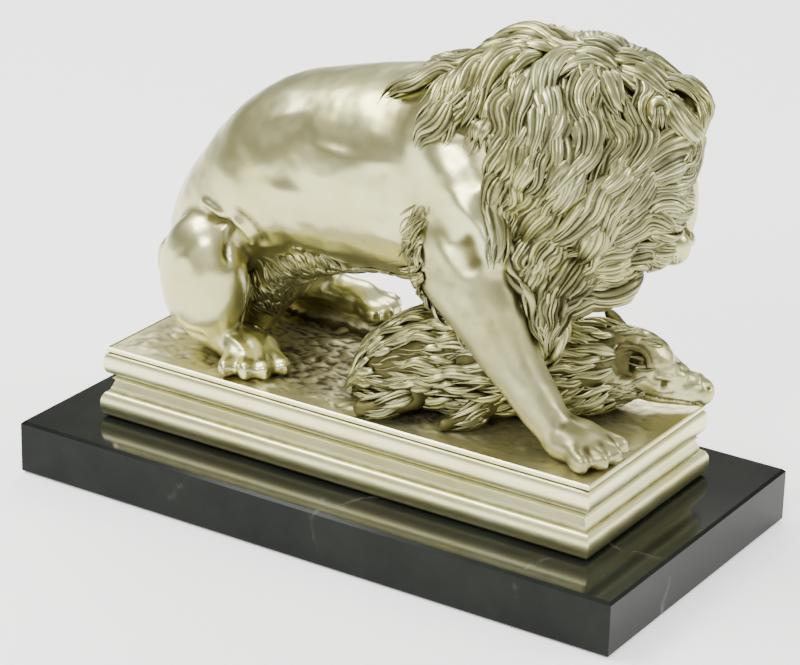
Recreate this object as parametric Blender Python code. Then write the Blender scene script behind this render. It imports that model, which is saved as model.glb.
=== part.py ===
"""A lion crouching over a wild boar, cast in one with its moulded base, on a black marble plinth.

The frame has +X towards the lion's head, +Z up, and its origin in the middle of the plinth's underside.
"""

import math
import random

import bmesh
import bpy
import numpy as np
from mathutils import Matrix, Vector
from mathutils.bvhtree import BVHTree

# Driving sizes in metres.
PLINTH_HEIGHT = 0.025
PLINTH_MARGIN = 0.025
PLINTH_EDGE = 0.0012
SEAT_GAP = 0.0003

BASE_LENGTH = 0.250
BASE_WIDTH = 0.105
BASE_HEIGHT = 0.033
TORUS_HEIGHT = 0.0115
QUIRK_HEIGHT = 0.0015
LIP_HEIGHT = 0.0095
LIP_INSET = 0.0012
FACE_INSET = 0.0040
TORUS_BULGE = 0.0026
STEP_DEPTH = 0.0008
FACE_HOLLOW = 0.0009
GROOVE_DEPTH = 0.0012
GROOVE_HEIGHT = 0.0028
LIP_BULGE = 0.0016
RIM_STEP = 0.0010
RIM_EDGE = 0.0005
EASE = 0.0002
TORUS_STEPS = 8
LIP_STEPS = 7
RIM_WIDTH = 0.0035
RIM_HEIGHT = 0.0030
GROUND_SINK = 0.0008

FIGURE_HEIGHT = 0.170
FIGURE_FACES = 9300
CORE_VOXEL = 2.2
CORE_SOFTEN_STEPS = 6
SKIN_VOXEL = 1.4
SKIN_SOFTEN_STEPS = 1

# The figure's tables are written in 170ths of its height, with z counted from the ground.
# A place is (x, y, z); a station of a limb is (x, y, z, half height, half width).
TABLE_HEIGHT = 170.0
UNIT = FIGURE_HEIGHT / TABLE_HEIGHT
SEED = 11
SHARP_ANGLE = math.radians(35)

PLINTH_TOP = PLINTH_HEIGHT
BASE_FOOT = PLINTH_TOP + SEAT_GAP
GROUND = BASE_FOOT + BASE_HEIGHT - GROUND_SINK

TORSO = (
    (-105, 0, 30, 15, 20),
    (-93, 0, 49, 25.5, 29),
    (-76, 0, 68, 31.5, 36),
    (-50, 0, 87, 40, 38),
    (-17, 0, 94, 44.5, 40),
    (15, 0, 98, 47, 42),
    (42, 0, 102, 48, 40),
    (66, 0, 108, 40, 34),
)
TAIL = (
    (-112, 0, 42, 6.0, 6.0),
    (-124, -3, 31, 4.8, 4.8),
    (-126, 4, 14, 4.2, 4.2),
    (-117, 22, 6, 4.2, 4.2),
    (-100, 38, 5, 4.4, 4.4),
    (-80, 44, 6, 5.5, 6.5),
)
NEAR_FORELEG = (
    (50, -26, 104, 26, 15),
    (46, -36, 80, 20, 14),
    (60, -38, 65, 18.5, 13),
    (71, -37, 46, 13.5, 11.5),
    (80, -35, 32, 10.5, 10),
    (89, -31, 18, 9, 9.5),
    (97, -28, 9, 7.5, 10),
)
FAR_FORELEG = (
    (48, 26, 104, 26, 15),
    (40, 35, 78, 18, 14),
    (45, 37, 60, 15, 12),
    (48, 37, 42, 12, 11),
    (51, 36, 26, 10, 10),
    (55, 35, 13, 9, 9.5),
)
NEAR_ARM = (
    (44, -35, 114, 14, 9),
    (56, -39, 98, 11, 8),
    (67, -40, 82, 8, 7),
)
CHEST_STRAND = (
    (72, -24, 74, 6, 6),
    (76, -27, 52, 5, 5),
    (84, -28, 36, 3.8, 3.8),
    (94, -26, 22, 2.4, 2.4),
)
NEAR_SHANK = (
    (-88, -24, 12, 10, 9),
    (-74, -26, 10, 9, 10),
    (-60, -30, 8, 8, 12),
)
FAR_SHANK = (
    (-86, 32, 16, 10, 8),
    (-68, 37, 15, 9, 9),
    (-52, 39, 13, 7, 9),
)
GROIN = (
    (-76, 4, 12, 8, 13),
    (-68, 3, 30, 13, 17),
    (-56, 2, 46, 14, 20),
    (-34, 0, 53, 11, 20),
    (-14, 0, 56, 8, 18),
)
BOAR_BODY = (
    (0, -21, 7, 9, 12),
    (14, -19, 18, 17, 18),
    (34, -14, 23, 22, 21),
    (56, -5, 22, 21, 20),
    (76, 8, 21, 19, 18),
    (92, 20, 22, 18, 14),
)
BOAR_HEAD = (
    (86, 17, 22, 17, 14),
    (101, 27, 21, 17, 12),
    (110, 33, 15.5, 12, 9.5),
    (118, 39, 11.5, 8.5, 7),
    (123, 43, 9.5, 6.5, 6.5),
)

# Each mass is (centre, half sizes).
HAUNCHES = (
    ((-82, -33, 38), (21.5, 15, 30)),
    ((-76, 35, 40), (21, 14, 30)),
    ((-97, 0, 26), (21, 26, 25)),
    ((-52, 14, 60), (20, 18, 26)),
)
SHOULDERS = (
    ((38, -25, 108), (25, 17, 40)),
    ((38, 25, 108), (25, 17, 40)),
)
MANE = (
    ((26, 0, 113), (32, 37, 30)),
    ((60, 1, 117), (34, 41, 48)),
    ((84, 4, 119), (32, 41, 44)),
    ((94, 9, 117), (27, 35, 42)),
    ((79, -8, 84), (20, 23, 34)),
    ((78, -18, 58), (9, 9, 22)),
    ((66, 4, 74), (18, 22, 30)),
    ((93, 4, 84), (19, 21, 25)),
)
ROCKS = (
    ((-56, 39, 0), (34, 10, 7)),
    ((-20, 10, -2), (46, 24, 4)),
    ((24, 38, -2), (40, 12, 5)),
    ((108, -2, -2), (16, 20, 4)),
)
GROUND_MARGIN = 2.0
BOAR_EAR = (105, 14, 29)
BOAR_LEGS = (
    ((62, 22, 8, 6, 6), (76, 34, 6, 4.5, 4.5), (88, 42, 5, 3.5, 4)),
    ((18, 0, 8, 7, 7), (8, 14, 6, 5, 5), (-6, 22, 4, 3.5, 4)),
    ((28, -34, 10, 6, 6), (19, -42, 6, 4.2, 4.2), (9, -46, 4, 3.2, 3.6)),
    ((58, -24, 10, 5, 5), (52, -32, 5, 3.6, 3.6), (46, -38, 3, 2.8, 3.2)),
)
SNOUT = (123.5, 43.5, 9.5)
SNOUT_SIZE = (3, 6.8, 7.2)
SNOUT_TURN = math.radians(38)

HEAD_CENTRE = (106, 14, 121)
HEAD_REACH = 33
HEAD_YAW = math.radians(35)
HEAD_NOD = math.radians(86)

TRUNK_BACK = -96
TRUNK_FRONT = 66
TRUNK_FOOT = 70
TRUNK_SOFTEN_STEPS = 25

# The hair: how many locks, how long and how wide they are, in table units.
MANE_LOCKS = 170
MANE_SPACING = 7.6
MANE_LENGTH = (28, 50)
MANE_WIDTH = (3.6, 5.0)
MANE_LIFT = (1.0, 3.8)
MANE_CREST = 131
MANE_BACK = 2
MANE_SIDE = 67
MANE_SLANT = 0.12
MANE_SLANT_TOP = 96
MANE_FOOT = 36
MANE_TOP_WAY = (-0.58, 0.0, -0.81)
MANE_LOW_WAY = (-0.15, 0.0, -1.0)
MANE_LOW_SPAN = (90, 115)
FACE_FLOW_SPAN = (26, 56)
EAR_ROOM = 9.5
EAR_PLACE = (23, -27, 3)
EAR_SIZE = (8, 8, 5)
FACE_NEAR = 10.5
FACE_TOP = 2
FACE_FOOT = 62
FACE_ROOM = 3.0
FACE_FAR = 14
BOAR_COAT_SPAN = (0, 100)
BOAR_COAT_LEVELS = (3, 44)
BOAR_COAT_SLANT = 0.55
BRISTLES = 90
BRISTLE_SPACING = 5.0
BRISTLE_LENGTH = (16, 26)
BRISTLE_WIDTH = (2.2, 3.0)
BRISTLE_FAN = 30
LOCK_STEP = 2.0
SHORTEST = 4
FOREARM_TOP = 62
LOCK_PITCH = (15, 24)
LOCK_SWAY = (1.2, 2.4)
LOCK_ROUNDNESS = 0.95
FUR_LIFT = 1.0
FUR_TURN = 0.6

# The courses of the chief locks; the others follow the nearest of them. The neck's are mirrored
# across the lion, the head's across the turned head.
NECK_GUIDES = (
    ((24, -12, 145), (12, -19, 140), (3, -24, 134)),
    ((41, -11, 154), (41, -27, 147), (40, -37, 135), (33, -39, 129), (30, -40, 122)),
    ((52, -17, 158), (46, -18, 155), (44, -29, 145), (39, -36, 137)),
    ((60, -11, 163), (57, -16, 160), (55, -26, 152), (55, -34, 140)),
    ((70, -19, 156), (75, -32, 138), (76, -35, 127), (67, -39, 114), (66, -42, 100)),
    ((74, -7, 160), (81, -26, 148), (85, -33, 137), (82, -36, 125), (72, -37, 109)),
    ((88, -2, 162), (80, -8, 160), (80, -21, 153), (87, -29, 145), (88, -34, 134)),
    ((84, -6, 164), (64, -8, 165), (40, -8, 158), (22, -8, 148)),
    ((98, -31, 131), (95, -34, 115), (84, -33, 101), (75, -30, 84), (76, -34, 71), (81, -31, 52)),
    ((106, -26, 118), (100, -29, 106), (88, -29, 94), (83, -30, 79), (78, -31, 63)),
)
HEAD_GUIDES = (
    ((99, 0, 158), (109, 2, 153), (118, 8, 144), (124, 13, 134), (125, 14, 124)),
    ((93, -4, 160), (93, -22, 150), (100, -25, 141), (100, -30, 129), (93, -35, 118), (84, -35, 108)),
    ((94, -6, 159), (99, -11, 154), (104, -13, 147), (109, -9, 143)),
    ((103, 6, 156), (111, -1, 148), (115, -8, 134), (112, -15, 125), (107, -24, 118), (102, -29, 111)),
    ((126, 17, 133), (122, 5, 132), (116, -8, 128), (112, -17, 117)),
    ((125, 10, 122), (123, 1, 123), (116, -11, 118), (112, -16, 108), (106, -15, 94)),
    ((123, 6, 110), (121, -3, 113), (114, -13, 109), (107, -17, 98)),
    ((122, 6, 99), (121, -3, 103), (112, -11, 98), (101, -18, 90)),
    ((116, 12, 81), (113, 3, 83), (105, -12, 82), (96, -19, 78)),
    ((108, 8, 71), (106, -4, 68), (96, -12, 67), (92, -21, 67)),
    ((106, -22, 103), (98, -19, 88), (93, -24, 79), (88, -25, 67), (84, -23, 46)),
)
# Along the crown the hair parts at one place and runs back over the crest and forward to the brow.
CROWN_GUIDES = (
    ((91, 2, 163), (72, 0, 166), (48, 0, 163), (26, 0, 151), (8, 0, 143)),
    ((97, 4, 160), (108, 9, 154), (118, 14, 146), (124, 19, 134), (125, 21, 124)),
)
GUIDE_REACH = 9.0
GUIDE_WIDTH = 5.2
GUIDE_LIFT = 3.6
GUIDE_FREEDOM = 0.12
# A single long lock hangs beside the near forearm.
STRAY_LOCK = ((76, -26, 76), (78, -27, 64), (81, -28, 54), (85, -29, 45))
STRAY_WIDTH = 3.0

# Short fur is (first place, last place, spread, number of locks, way it lies, length).
FUR = (
    ((30, -42, 100), (36, -44, 54), 10, 30, (-0.55, -0.1, -0.8), 14),
    ((30, 42, 100), (36, 42, 54), 9, 12, (-0.55, 0.1, -0.8), 13),
    ((-24, -16, 50), (30, -16, 54), 5, 14, (0.75, -0.1, -0.5), 10),
    ((-24, 14, 50), (30, 14, 54), 5, 10, (0.75, 0.1, -0.5), 10),
    ((-72, -14, 32), (-24, -24, 54), 10, 36, (0.45, -0.1, -0.85), 12),
    ((-74, -10, 18), (-50, -12, 34), 6, 12, (0.45, -0.1, -0.85), 11),
    ((-74, 16, 24), (-34, 16, 46), 8, 16, (0.4, 0.1, -0.85), 12),
    ((-88, 44, 6), (-78, 46, 6), 2, 4, (0.95, 0.1, 0.0), 15),
)
FUR_WIDTH = (1.8, 2.6)


def smooth_stations(stations, steps=5):
    """The stations of a limb, with more between them on one smooth curve."""
    ends = [stations[0], *stations, stations[-1]]
    found = []
    for before, start, end, after in zip(ends, ends[1:], ends[2:], ends[3:]):
        for step in range(steps):
            t = step / steps
            found.append(
                [
                    0.5 * (2 * b + (c - a) * t + (2 * a - 5 * b + 4 * c - d) * t * t
                           + (3 * b - a - 3 * c + d) * t ** 3)
                    for a, b, c, d in zip(before, start, end, after)
                ]
            )
    found.append(list(stations[-1]))
    return found


def add_tube(bm, rings, sides):
    """A closed tube; each ring is (centre, one half axis, the other half axis)."""
    loops = []
    for centre, across, up in rings:
        turns = [2 * math.pi * k / sides for k in range(sides)]
        loops.append([bm.verts.new(centre + across * math.cos(a) + up * math.sin(a)) for a in turns])
    for lower, upper in zip(loops, loops[1:]):
        for k in range(sides):
            after = (k + 1) % sides
            bm.faces.new((lower[k], lower[after], upper[after], upper[k]))
    bm.faces.new(loops[0][::-1])
    bm.faces.new(loops[-1])


def add_limb(bm, stations, sides=24, cap_rings=4):
    """A tube of oval rings through the stations, with rounded ends."""
    path = smooth_stations(stations)
    centres = [Vector(s[:3]) for s in path]
    rings = []
    for i, station in enumerate(path):
        along = (centres[min(i + 1, len(path) - 1)] - centres[max(i - 1, 0)]).normalized()
        across = (Vector((0, 1, 0)) - along * along.y).normalized()
        rings.append((centres[i], across * station[4], along.cross(across) * station[3]))

    def cap(ring, way):
        centre, across, up = ring
        reach = way * 0.5 * (across.length + up.length)
        angles = [math.pi / 2 * k / (cap_rings + 1) for k in range(1, cap_rings + 1)]
        return [(centre + reach * math.sin(a), across * math.cos(a), up * math.cos(a)) for a in angles]

    start = (centres[0] - centres[1]).normalized()
    end = (centres[-1] - centres[-2]).normalized()
    add_tube(bm, cap(rings[0], start)[::-1] + rings + cap(rings[-1], end), sides)


def make_ball():
    """A unit ball that the masses are copied from."""
    bm = bmesh.new()
    bmesh.ops.create_uvsphere(bm, u_segments=32, v_segments=20, radius=1.0)
    mesh = bpy.data.meshes.new("ball")
    bm.to_mesh(mesh)
    bm.free()
    return mesh


def add_mass(bm, ball, centre, half_sizes, turn=None):
    """An ellipsoid, turned by a 3 by 3 matrix if one is given."""
    turn = (turn or Matrix.Identity(3)).to_4x4()
    matrix = Matrix.Translation(centre) @ turn @ Matrix.Diagonal((*half_sizes, 1))
    ball.transform(matrix)
    bm.from_mesh(ball)
    ball.transform(matrix.inverted())


def head_turn():
    """The head's own axes: x across it to the lion's right, y from crown to nose, z out of the forehead."""
    out = Vector((math.cos(HEAD_YAW), math.sin(HEAD_YAW), 0))
    down = Vector((0, 0, -1))
    to_nose = (out * math.cos(HEAD_NOD) + down * math.sin(HEAD_NOD)).normalized()
    forehead = (out * math.sin(HEAD_NOD) - down * math.cos(HEAD_NOD)).normalized()
    across = to_nose.cross(forehead)
    return Matrix((across, to_nose, forehead)).transposed()


def add_head(bm, ball):
    """The lion's skull, muzzle and ears, in the head's own axes."""
    turn = head_turn()
    centre = Vector(HEAD_CENTRE)

    def mass(place, half_sizes):
        add_mass(bm, ball, centre + turn @ Vector(place), half_sizes, turn)

    mass((0, 0, 0), (22, 24, 19))
    mass((0, -4, 7), (18, 16, 11))
    mass((0, -18, 11), (15, 10, 12))
    mass((0, 18, 9), (8, 22, 9))
    mass((0, 33, 4), (13, 13, 11))
    mass((0, 40, -4), (9, 8, 8))
    for side in (-1, 1):
        mass((side * 15, 14, 4), (9, 14, 11))
        mass((side * EAR_PLACE[0], *EAR_PLACE[1:]), EAR_SIZE)


def add_face(bm, ball):
    """The forms of the lion's face that stand out from its skull."""
    turn = head_turn()
    centre = Vector(HEAD_CENTRE)

    def mass(place, half_sizes, tilt=0.0):
        local = turn @ Matrix.Rotation(tilt, 3, "Z")
        add_mass(bm, ball, centre + turn @ Vector(place), half_sizes, local)

    mass((0, 19, 16), (5.5, 18, 5.5))
    mass((0, 38, 15.5), (6.5, 4, 4.5))
    mass((0, 42.5, 12), (2.0, 4, 5))
    mass((0, 46, 3), (6.5, 5, 6))
    for side in (-1, 1):
        mass((side * 6.0, 39, 10), (6.2, 8.5, 7.5), side * 0.25)
        mass((side * 9.5, 5.5, 16.5), (8.0, 3.0, 4.0), side * -0.35)
        mass((side * 14.0, 17, 8), (6.0, 10, 6.5), side * 0.2)
        mass((side * 9.0, 11.5, 14.5), (3.2, 2.6, 2.6))
        mass((side * 6.5, -8, 16), (5.5, 12, 4.5), side * 0.15)


def add_paw(bm, ball, centre, heading, length=14.0, width=13.5, height=9.0, toes=4):
    """A paw lying on the ground: a low pad with a row of toes along its front."""
    turn = Matrix.Rotation(heading, 3, "Z")
    add_mass(bm, ball, centre, (length, width, height), turn)
    for k in range(toes):
        spread = (k - (toes - 1) / 2) / ((toes - 1) / 2)
        forward = length * (1.12 - 0.28 * spread * spread)
        place = Vector(centre) + turn @ Vector((forward, spread * width * 0.88, -height * 0.22))
        add_mass(bm, ball, place, (7.2, 3.9, 5.4), turn @ Matrix.Rotation(0.3 * spread, 3, "Z"))


# Each paw is (centre, heading, half width).
PAWS = (
    ((102, -27, 7), math.radians(-10), 13.5),
    ((63, 34, 8), math.radians(4), 12.5),
    ((-60, -28, 7), math.radians(-50), 13.5),
    ((-50, 39, 12), math.radians(4), 9.5),
)


def add_figure_core(bm, ball):
    """The lion and the boar without their hair."""
    lion = (TORSO, TAIL, NEAR_FORELEG, NEAR_ARM, CHEST_STRAND, FAR_FORELEG, NEAR_SHANK, FAR_SHANK, GROIN)
    for stations in (*lion, BOAR_BODY, BOAR_HEAD):
        add_limb(bm, stations)
    for centre, half_sizes in (*HAUNCHES, *SHOULDERS, *MANE):
        add_mass(bm, ball, centre, half_sizes)
    add_head(bm, ball)
    for centre, heading, width in PAWS:
        add_paw(bm, ball, centre, heading, width=width)


def add_boar_details(bm, ball):
    """The snout disc, the ears, the tusk and the trotters."""
    add_mass(bm, ball, SNOUT, SNOUT_SIZE, Matrix.Rotation(SNOUT_TURN, 3, "Z"))
    ear = Vector(BOAR_EAR)
    lobe = []
    for k in range(9):
        angle = math.radians(-20 + 35 * k)
        along = Vector((0.84, 0.54, 0)) * 7.0 * math.cos(angle)
        place = ear + along + Vector((-0.3, 0.1, 0.9)) * 6.0 * math.sin(angle)
        lobe.append((*place, 2.0, 2.6))
    add_limb(bm, lobe, sides=8)
    add_limb(bm, ((92, 27, 36, 2.5, 5), (88, 27, 40, 2.5, 4), (86, 25, 43, 1.5, 2)), sides=10)
    for leg in BOAR_LEGS:
        add_limb(bm, leg, sides=12)


def in_boar_coat(place):
    """The bristles cover the boar's back and its near side, up to its cheek."""
    start, end = BOAR_COAT_SPAN
    low, high = BOAR_COAT_LEVELS
    near_side = place.y < BOAR_COAT_SLANT * place.x + 2
    return start < place.x < end and low < place.z < high and near_side and mane_reach(place) > 1.1


def mane_reach(place):
    """How deep a place lies in the mane: under 1 inside it, over 1 outside."""
    return min(
        math.sqrt(sum(((place[k] - centre[k]) / half[k]) ** 2 for k in range(3)))
        for centre, half in MANE
    )


def face_place(place):
    """A place in the head's own axes."""
    return head_turn().transposed() @ (Vector(place) - Vector(HEAD_CENTRE))


def in_face(place, room=0.0):
    """Whether a place is on the bare face."""
    x, y, z = face_place(place)
    half = (FACE_NEAR if x > 0 else FACE_FAR) + (0 if y < 22 else 4) - room
    return z > 6 and abs(x) < half and FACE_TOP + room < y < FACE_FOOT


def by_ear(place):
    """Whether a place is on an ear, which the hair leaves free."""
    x, y, z = face_place(place)
    return math.hypot(abs(x) - EAR_PLACE[0], y - EAR_PLACE[1], z - EAR_PLACE[2]) < EAR_ROOM


def in_mane(place):
    """The mane covers the crest and the neck and leaves the shoulders bare."""
    on_crest = place.z > MANE_CREST and place.x > MANE_BACK
    side = MANE_SIDE - MANE_SLANT * max(0.0, MANE_SLANT_TOP - place.z)
    on_head = (place - Vector(HEAD_CENTRE)).length < HEAD_REACH
    on_neck = mane_reach(place) < 1.05 and place.z > MANE_FOOT
    return on_head or on_neck and (on_crest or place.x > side)


def mirrored(place, on_head):
    """The same place on the lion's other side."""
    if not on_head:
        return Vector((place[0], -place[1], place[2]))
    x, y, z = face_place(place)
    return Vector(HEAD_CENTRE) + head_turn() @ Vector((-x, y, z))


def guide_lines():
    """The courses of the chief locks on both sides, as smooth rows of places."""
    lines = []
    for guides, on_head in ((NECK_GUIDES, False), (HEAD_GUIDES, True)):
        for line in guides:
            near = [Vector(place) for place in line]
            lines.append(near)
            lines.append([mirrored(place, on_head) for place in near])
    lines += [[Vector(place) for place in line] for line in CROWN_GUIDES]
    return [[Vector(place) for place in smooth_stations([list(p) for p in line], 4)] for line in lines]


def guide_field():
    """The middle and the way of each short stretch of the chief locks."""
    pairs = [pair for line in guide_lines() for pair in zip(line, line[1:])]
    middles = np.array([(a + b) / 2 for a, b in pairs])
    ways = np.array([(b - a).normalized() for a, b in pairs])
    return middles, ways


def share_of(value, span):
    """How far a value has come from the start of a span to its end, from 0 to 1."""
    start, end = span
    return min(1.0, max(0.0, (value - start) / (end - start)))


def mane_way(place, normal):
    """The way the hair lies: away from the face beside it, back on the crest, down on the neck."""
    x, y, z = face_place(place)
    away = head_turn() @ Vector((x * 1.4, (y - 8) * 0.45, 0))
    distance = math.hypot(x * 1.4, y - 8)
    away.normalize()
    low = 1.0 - share_of(place[2], MANE_LOW_SPAN)
    hang = Vector(MANE_TOP_WAY).lerp(Vector(MANE_LOW_WAY), low)
    share = share_of(distance, FACE_FLOW_SPAN)
    way = (away * (1 - share) + hang * share) * GUIDE_FREEDOM
    gaps = ((GUIDE_MIDDLES - np.array(place)) ** 2).sum(axis=1)
    pull = np.exp(-gaps / GUIDE_REACH ** 2) @ GUIDE_WAYS
    way += Vector(pull)
    way -= normal * way.dot(normal)
    return way.normalized()


GUIDE_MIDDLES, GUIDE_WAYS = guide_field()


def bristle_way(place, normal):
    """The boar's bristles lie back from its head and fan out at its rump."""
    way = Vector((-0.92, -0.38, -0.12 - 0.01 * max(0.0, BRISTLE_FAN - place[0])))
    way -= normal * way.dot(normal)
    return way.normalized()


def skin_point(tree, place):
    """The nearest place on the skin and the skin's normal there."""
    found, normal, _, _ = tree.find_nearest(Vector(place))
    return found, normal


def lock_course(tree, root, way_at, length, rng, wave=1.0):
    """Places along one wavy lock that lies on the skin, with the skin's normals."""
    place, normal = skin_point(tree, root)
    phase = rng.uniform(0, 2 * math.pi)
    pitch = rng.uniform(*LOCK_PITCH)
    sway = rng.uniform(*LOCK_SWAY) * wave
    steps = max(4, round(length / LOCK_STEP))
    course = []
    for step in range(steps + 1):
        way = way_at(place, normal)
        aside = normal.cross(way)
        swing = sway * math.sin(phase + 2 * math.pi * step * LOCK_STEP / pitch)
        course.append((place + aside * swing, normal, way))
        place, normal = skin_point(tree, place + way * LOCK_STEP)
    return course


def add_lock(bm, course, width, thickness=0.75, lift=1.5, sides=8):
    """A lock of hair along its course: full near its root, tapering to a tip that stands off a little."""
    rings = []
    count = len(course) - 1
    for i, (place, normal, _) in enumerate(course):
        t = i / count
        size = width * (0.45 + 0.55 * min(1.0, t / 0.25)) * max(0.12, 1 - t ** 3) ** 0.8
        rise = lift * (0.2 + 0.8 * math.sin(math.pi * min(1.0, t * 0.85)))
        before = course[max(i - 1, 0)][0]
        after = course[min(i + 1, count)][0]
        along = (after - before).normalized()
        across = normal.cross(along).normalized()
        up = along.cross(across)
        rings.append((place + normal * rise, across * size, up * size * thickness))
    add_tube(bm, rings, sides)


def on_forearm(place):
    """Whether a place is on the near foreleg below the elbow."""
    return place.z < FOREARM_TOP and near_foreleg(place)


def before(course, barred, least=0):
    """The part of a course before its first barred place."""
    stop = next((i for i, step in enumerate(course) if barred(step[0])), len(course))
    return course[:max(least, stop)]


def barred_by_face(place):
    """Whether the hair stops there for the bare face or an ear."""
    return in_face(place, FACE_ROOM) or by_ear(place)


def unbroken(course):
    """The part of a course before it jumps from one limb to another."""
    gaps = [(b[0] - a[0]).length for a, b in zip(course, course[1:])]
    stop = next((i + 1 for i, gap in enumerate(gaps) if gap > 2.2 * LOCK_STEP), len(course))
    return course[:max(SHORTEST, stop)]


def drawn_course(tree, line):
    """A course on the skin through the places of a line, one every lock step."""
    course = []
    left = 0.0
    for start, end in zip(line, line[1:]):
        gap = (end - start).length
        way = (end - start).normalized()
        while left < gap:
            place, normal = skin_point(tree, start + way * left)
            course.append((place, normal, way))
            left += LOCK_STEP
        left -= gap
    return course


def fur_course(tree, root, way, length, rng):
    """A short curly lock that lies on the skin about one way."""
    turn = Matrix.Rotation(rng.uniform(-FUR_TURN, FUR_TURN), 3, skin_point(tree, root)[1])
    heading = turn @ way

    def lie(_, normal):
        flat = heading - normal * heading.dot(normal)
        return flat.normalized()

    return lock_course(tree, root, lie, length, rng, wave=0.6)


def scatter(places, wanted, spacing, rng):
    """Some of the places, none of them nearer to another than the spacing."""
    chosen = []
    rng.shuffle(places)
    for place in places:
        if all((place - other).length > spacing for other in chosen):
            chosen.append(place)
        if len(chosen) == wanted:
            break
    return chosen


def add_hair(bm, tree, core_places, rng):
    """The mane's locks, the boar's bristles and the short fur, all along the skin."""
    mane_roots = [
        p for p in core_places if in_mane(p) and not (in_face(p) or by_ear(p) or near_foreleg(p))
    ]
    for line in guide_lines():
        course = before(unbroken(drawn_course(tree, line)), on_forearm, SHORTEST)
        add_lock(bm, course, GUIDE_WIDTH, LOCK_ROUNDNESS, GUIDE_LIFT)
    for root in scatter(mane_roots, MANE_LOCKS, MANE_SPACING, rng):
        course = lock_course(tree, root, mane_way, rng.uniform(*MANE_LENGTH), rng)
        course = before(course, barred_by_face)
        if len(course) > SHORTEST + 1:
            course = before(course, on_forearm, SHORTEST)
            width = rng.uniform(*MANE_WIDTH)
            add_lock(bm, course, width, LOCK_ROUNDNESS, rng.uniform(*MANE_LIFT))
    boar_roots = [p for p in core_places if in_boar_coat(p) and not near_foreleg(p)]
    for root in scatter(boar_roots, BRISTLES, BRISTLE_SPACING, rng):
        course = lock_course(tree, root, bristle_way, rng.uniform(*BRISTLE_LENGTH), rng, wave=0.5)
        add_lock(bm, course, rng.uniform(*BRISTLE_WIDTH), lift=FUR_LIFT)
    stray = unbroken(drawn_course(tree, [Vector(p) for p in smooth_stations(STRAY_LOCK)]))
    add_lock(bm, stray, STRAY_WIDTH)
    for first, last, spread, count, way, length in FUR:
        for _ in range(count):
            root = Vector(first).lerp(Vector(last), rng.random())
            root += Vector([rng.uniform(-spread, spread) for _ in range(3)])
            course = fur_course(tree, root, Vector(way), length * rng.uniform(0.7, 1.2), rng)
            add_lock(bm, course, rng.uniform(*FUR_WIDTH), lift=FUR_LIFT)


def near_foreleg(place):
    """Whether a place is on the near foreleg."""
    for x, y, z, _, reach in NEAR_FORELEG:
        if (place - Vector((x, y, z))).length < reach * 1.25:
            return True
    return False


def add_ground(bm, ball):
    """A thin slab of soil that fills the base's top, with low rocks on it."""
    half_length = BASE_LENGTH / UNIT / 2 - RIM_WIDTH / UNIT - GROUND_MARGIN
    half_width = BASE_WIDTH / UNIT / 2 - RIM_WIDTH / UNIT - GROUND_MARGIN
    size = Matrix.Diagonal((half_length * 2, half_width * 2, 5, 1))
    bmesh.ops.create_cube(bm, size=1.0, matrix=Matrix.Translation((0, 0, -2)) @ size)
    for centre, half_sizes in ROCKS:
        add_mass(bm, ball, centre, half_sizes)


def new_object(name, bm):
    """An object of the scene made from a bmesh, shaded smooth apart from its sharp edges."""
    mesh = bpy.data.meshes.new(name)
    bm.normal_update()
    bm.to_mesh(mesh)
    bm.free()
    mesh.shade_smooth()
    mesh.set_sharp_from_angle(angle=SHARP_ANGLE)
    obj = bpy.data.objects.new(name, mesh)
    bpy.context.scene.collection.objects.link(obj)
    return obj


def evaluated_mesh(obj):
    """A new mesh with the object's modifiers applied."""
    bpy.context.view_layer.update()
    depsgraph = bpy.context.evaluated_depsgraph_get()
    return bpy.data.meshes.new_from_object(obj.evaluated_get(depsgraph))


def fuse(mesh, voxel, rounds, faces=None):
    """Melts overlapping shells into one skin, softens the joins and thins the mesh. In table units."""
    obj = bpy.data.objects.new("fuse", mesh)
    bpy.context.scene.collection.objects.link(obj)
    remesh = obj.modifiers.new("Fuse", "REMESH")
    remesh.mode = "VOXEL"
    remesh.voxel_size = voxel
    soften = obj.modifiers.new("Soften", "SMOOTH")
    soften.factor = 0.5
    soften.iterations = rounds
    fused = evaluated_mesh(obj)
    if faces:
        obj.modifiers.clear()
        obj.data = fused
        thin = obj.modifiers.new("Thin", "DECIMATE")
        thin.ratio = faces / (2 * len(fused.polygons))
        fused = evaluated_mesh(obj)
    bpy.data.objects.remove(obj)
    return fused


def in_trunk(place):
    """The smooth trunk, between the haunches' folds and the mane."""
    return TRUNK_BACK < place.x < TRUNK_FRONT and place.z > TRUNK_FOOT


def soften_trunk(mesh, rounds):
    """Lets the shoulders and the haunches flow into the trunk."""
    bm = bmesh.new()
    bm.from_mesh(mesh)
    trunk = [vert for vert in bm.verts if in_trunk(vert.co)]
    for _ in range(rounds):
        bmesh.ops.smooth_vert(bm, verts=trunk, factor=0.5, use_axis_x=True, use_axis_y=True, use_axis_z=True)
    bm.to_mesh(mesh)
    bm.free()
    return mesh


def keep_largest(bm):
    """Drops the loose crumbs that thin tips can leave."""
    left = set(bm.verts)
    islands = []
    while left:
        island = set()
        front = [left.pop()]
        while front:
            vert = front.pop()
            island.add(vert)
            for edge in vert.link_edges:
                other = edge.other_vert(vert)
                if other in left:
                    left.remove(other)
                    front.append(other)
        islands.append(island)
    islands.sort(key=len)
    for island in islands[:-1]:
        bmesh.ops.delete(bm, geom=list(island), context="VERTS")


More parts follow.
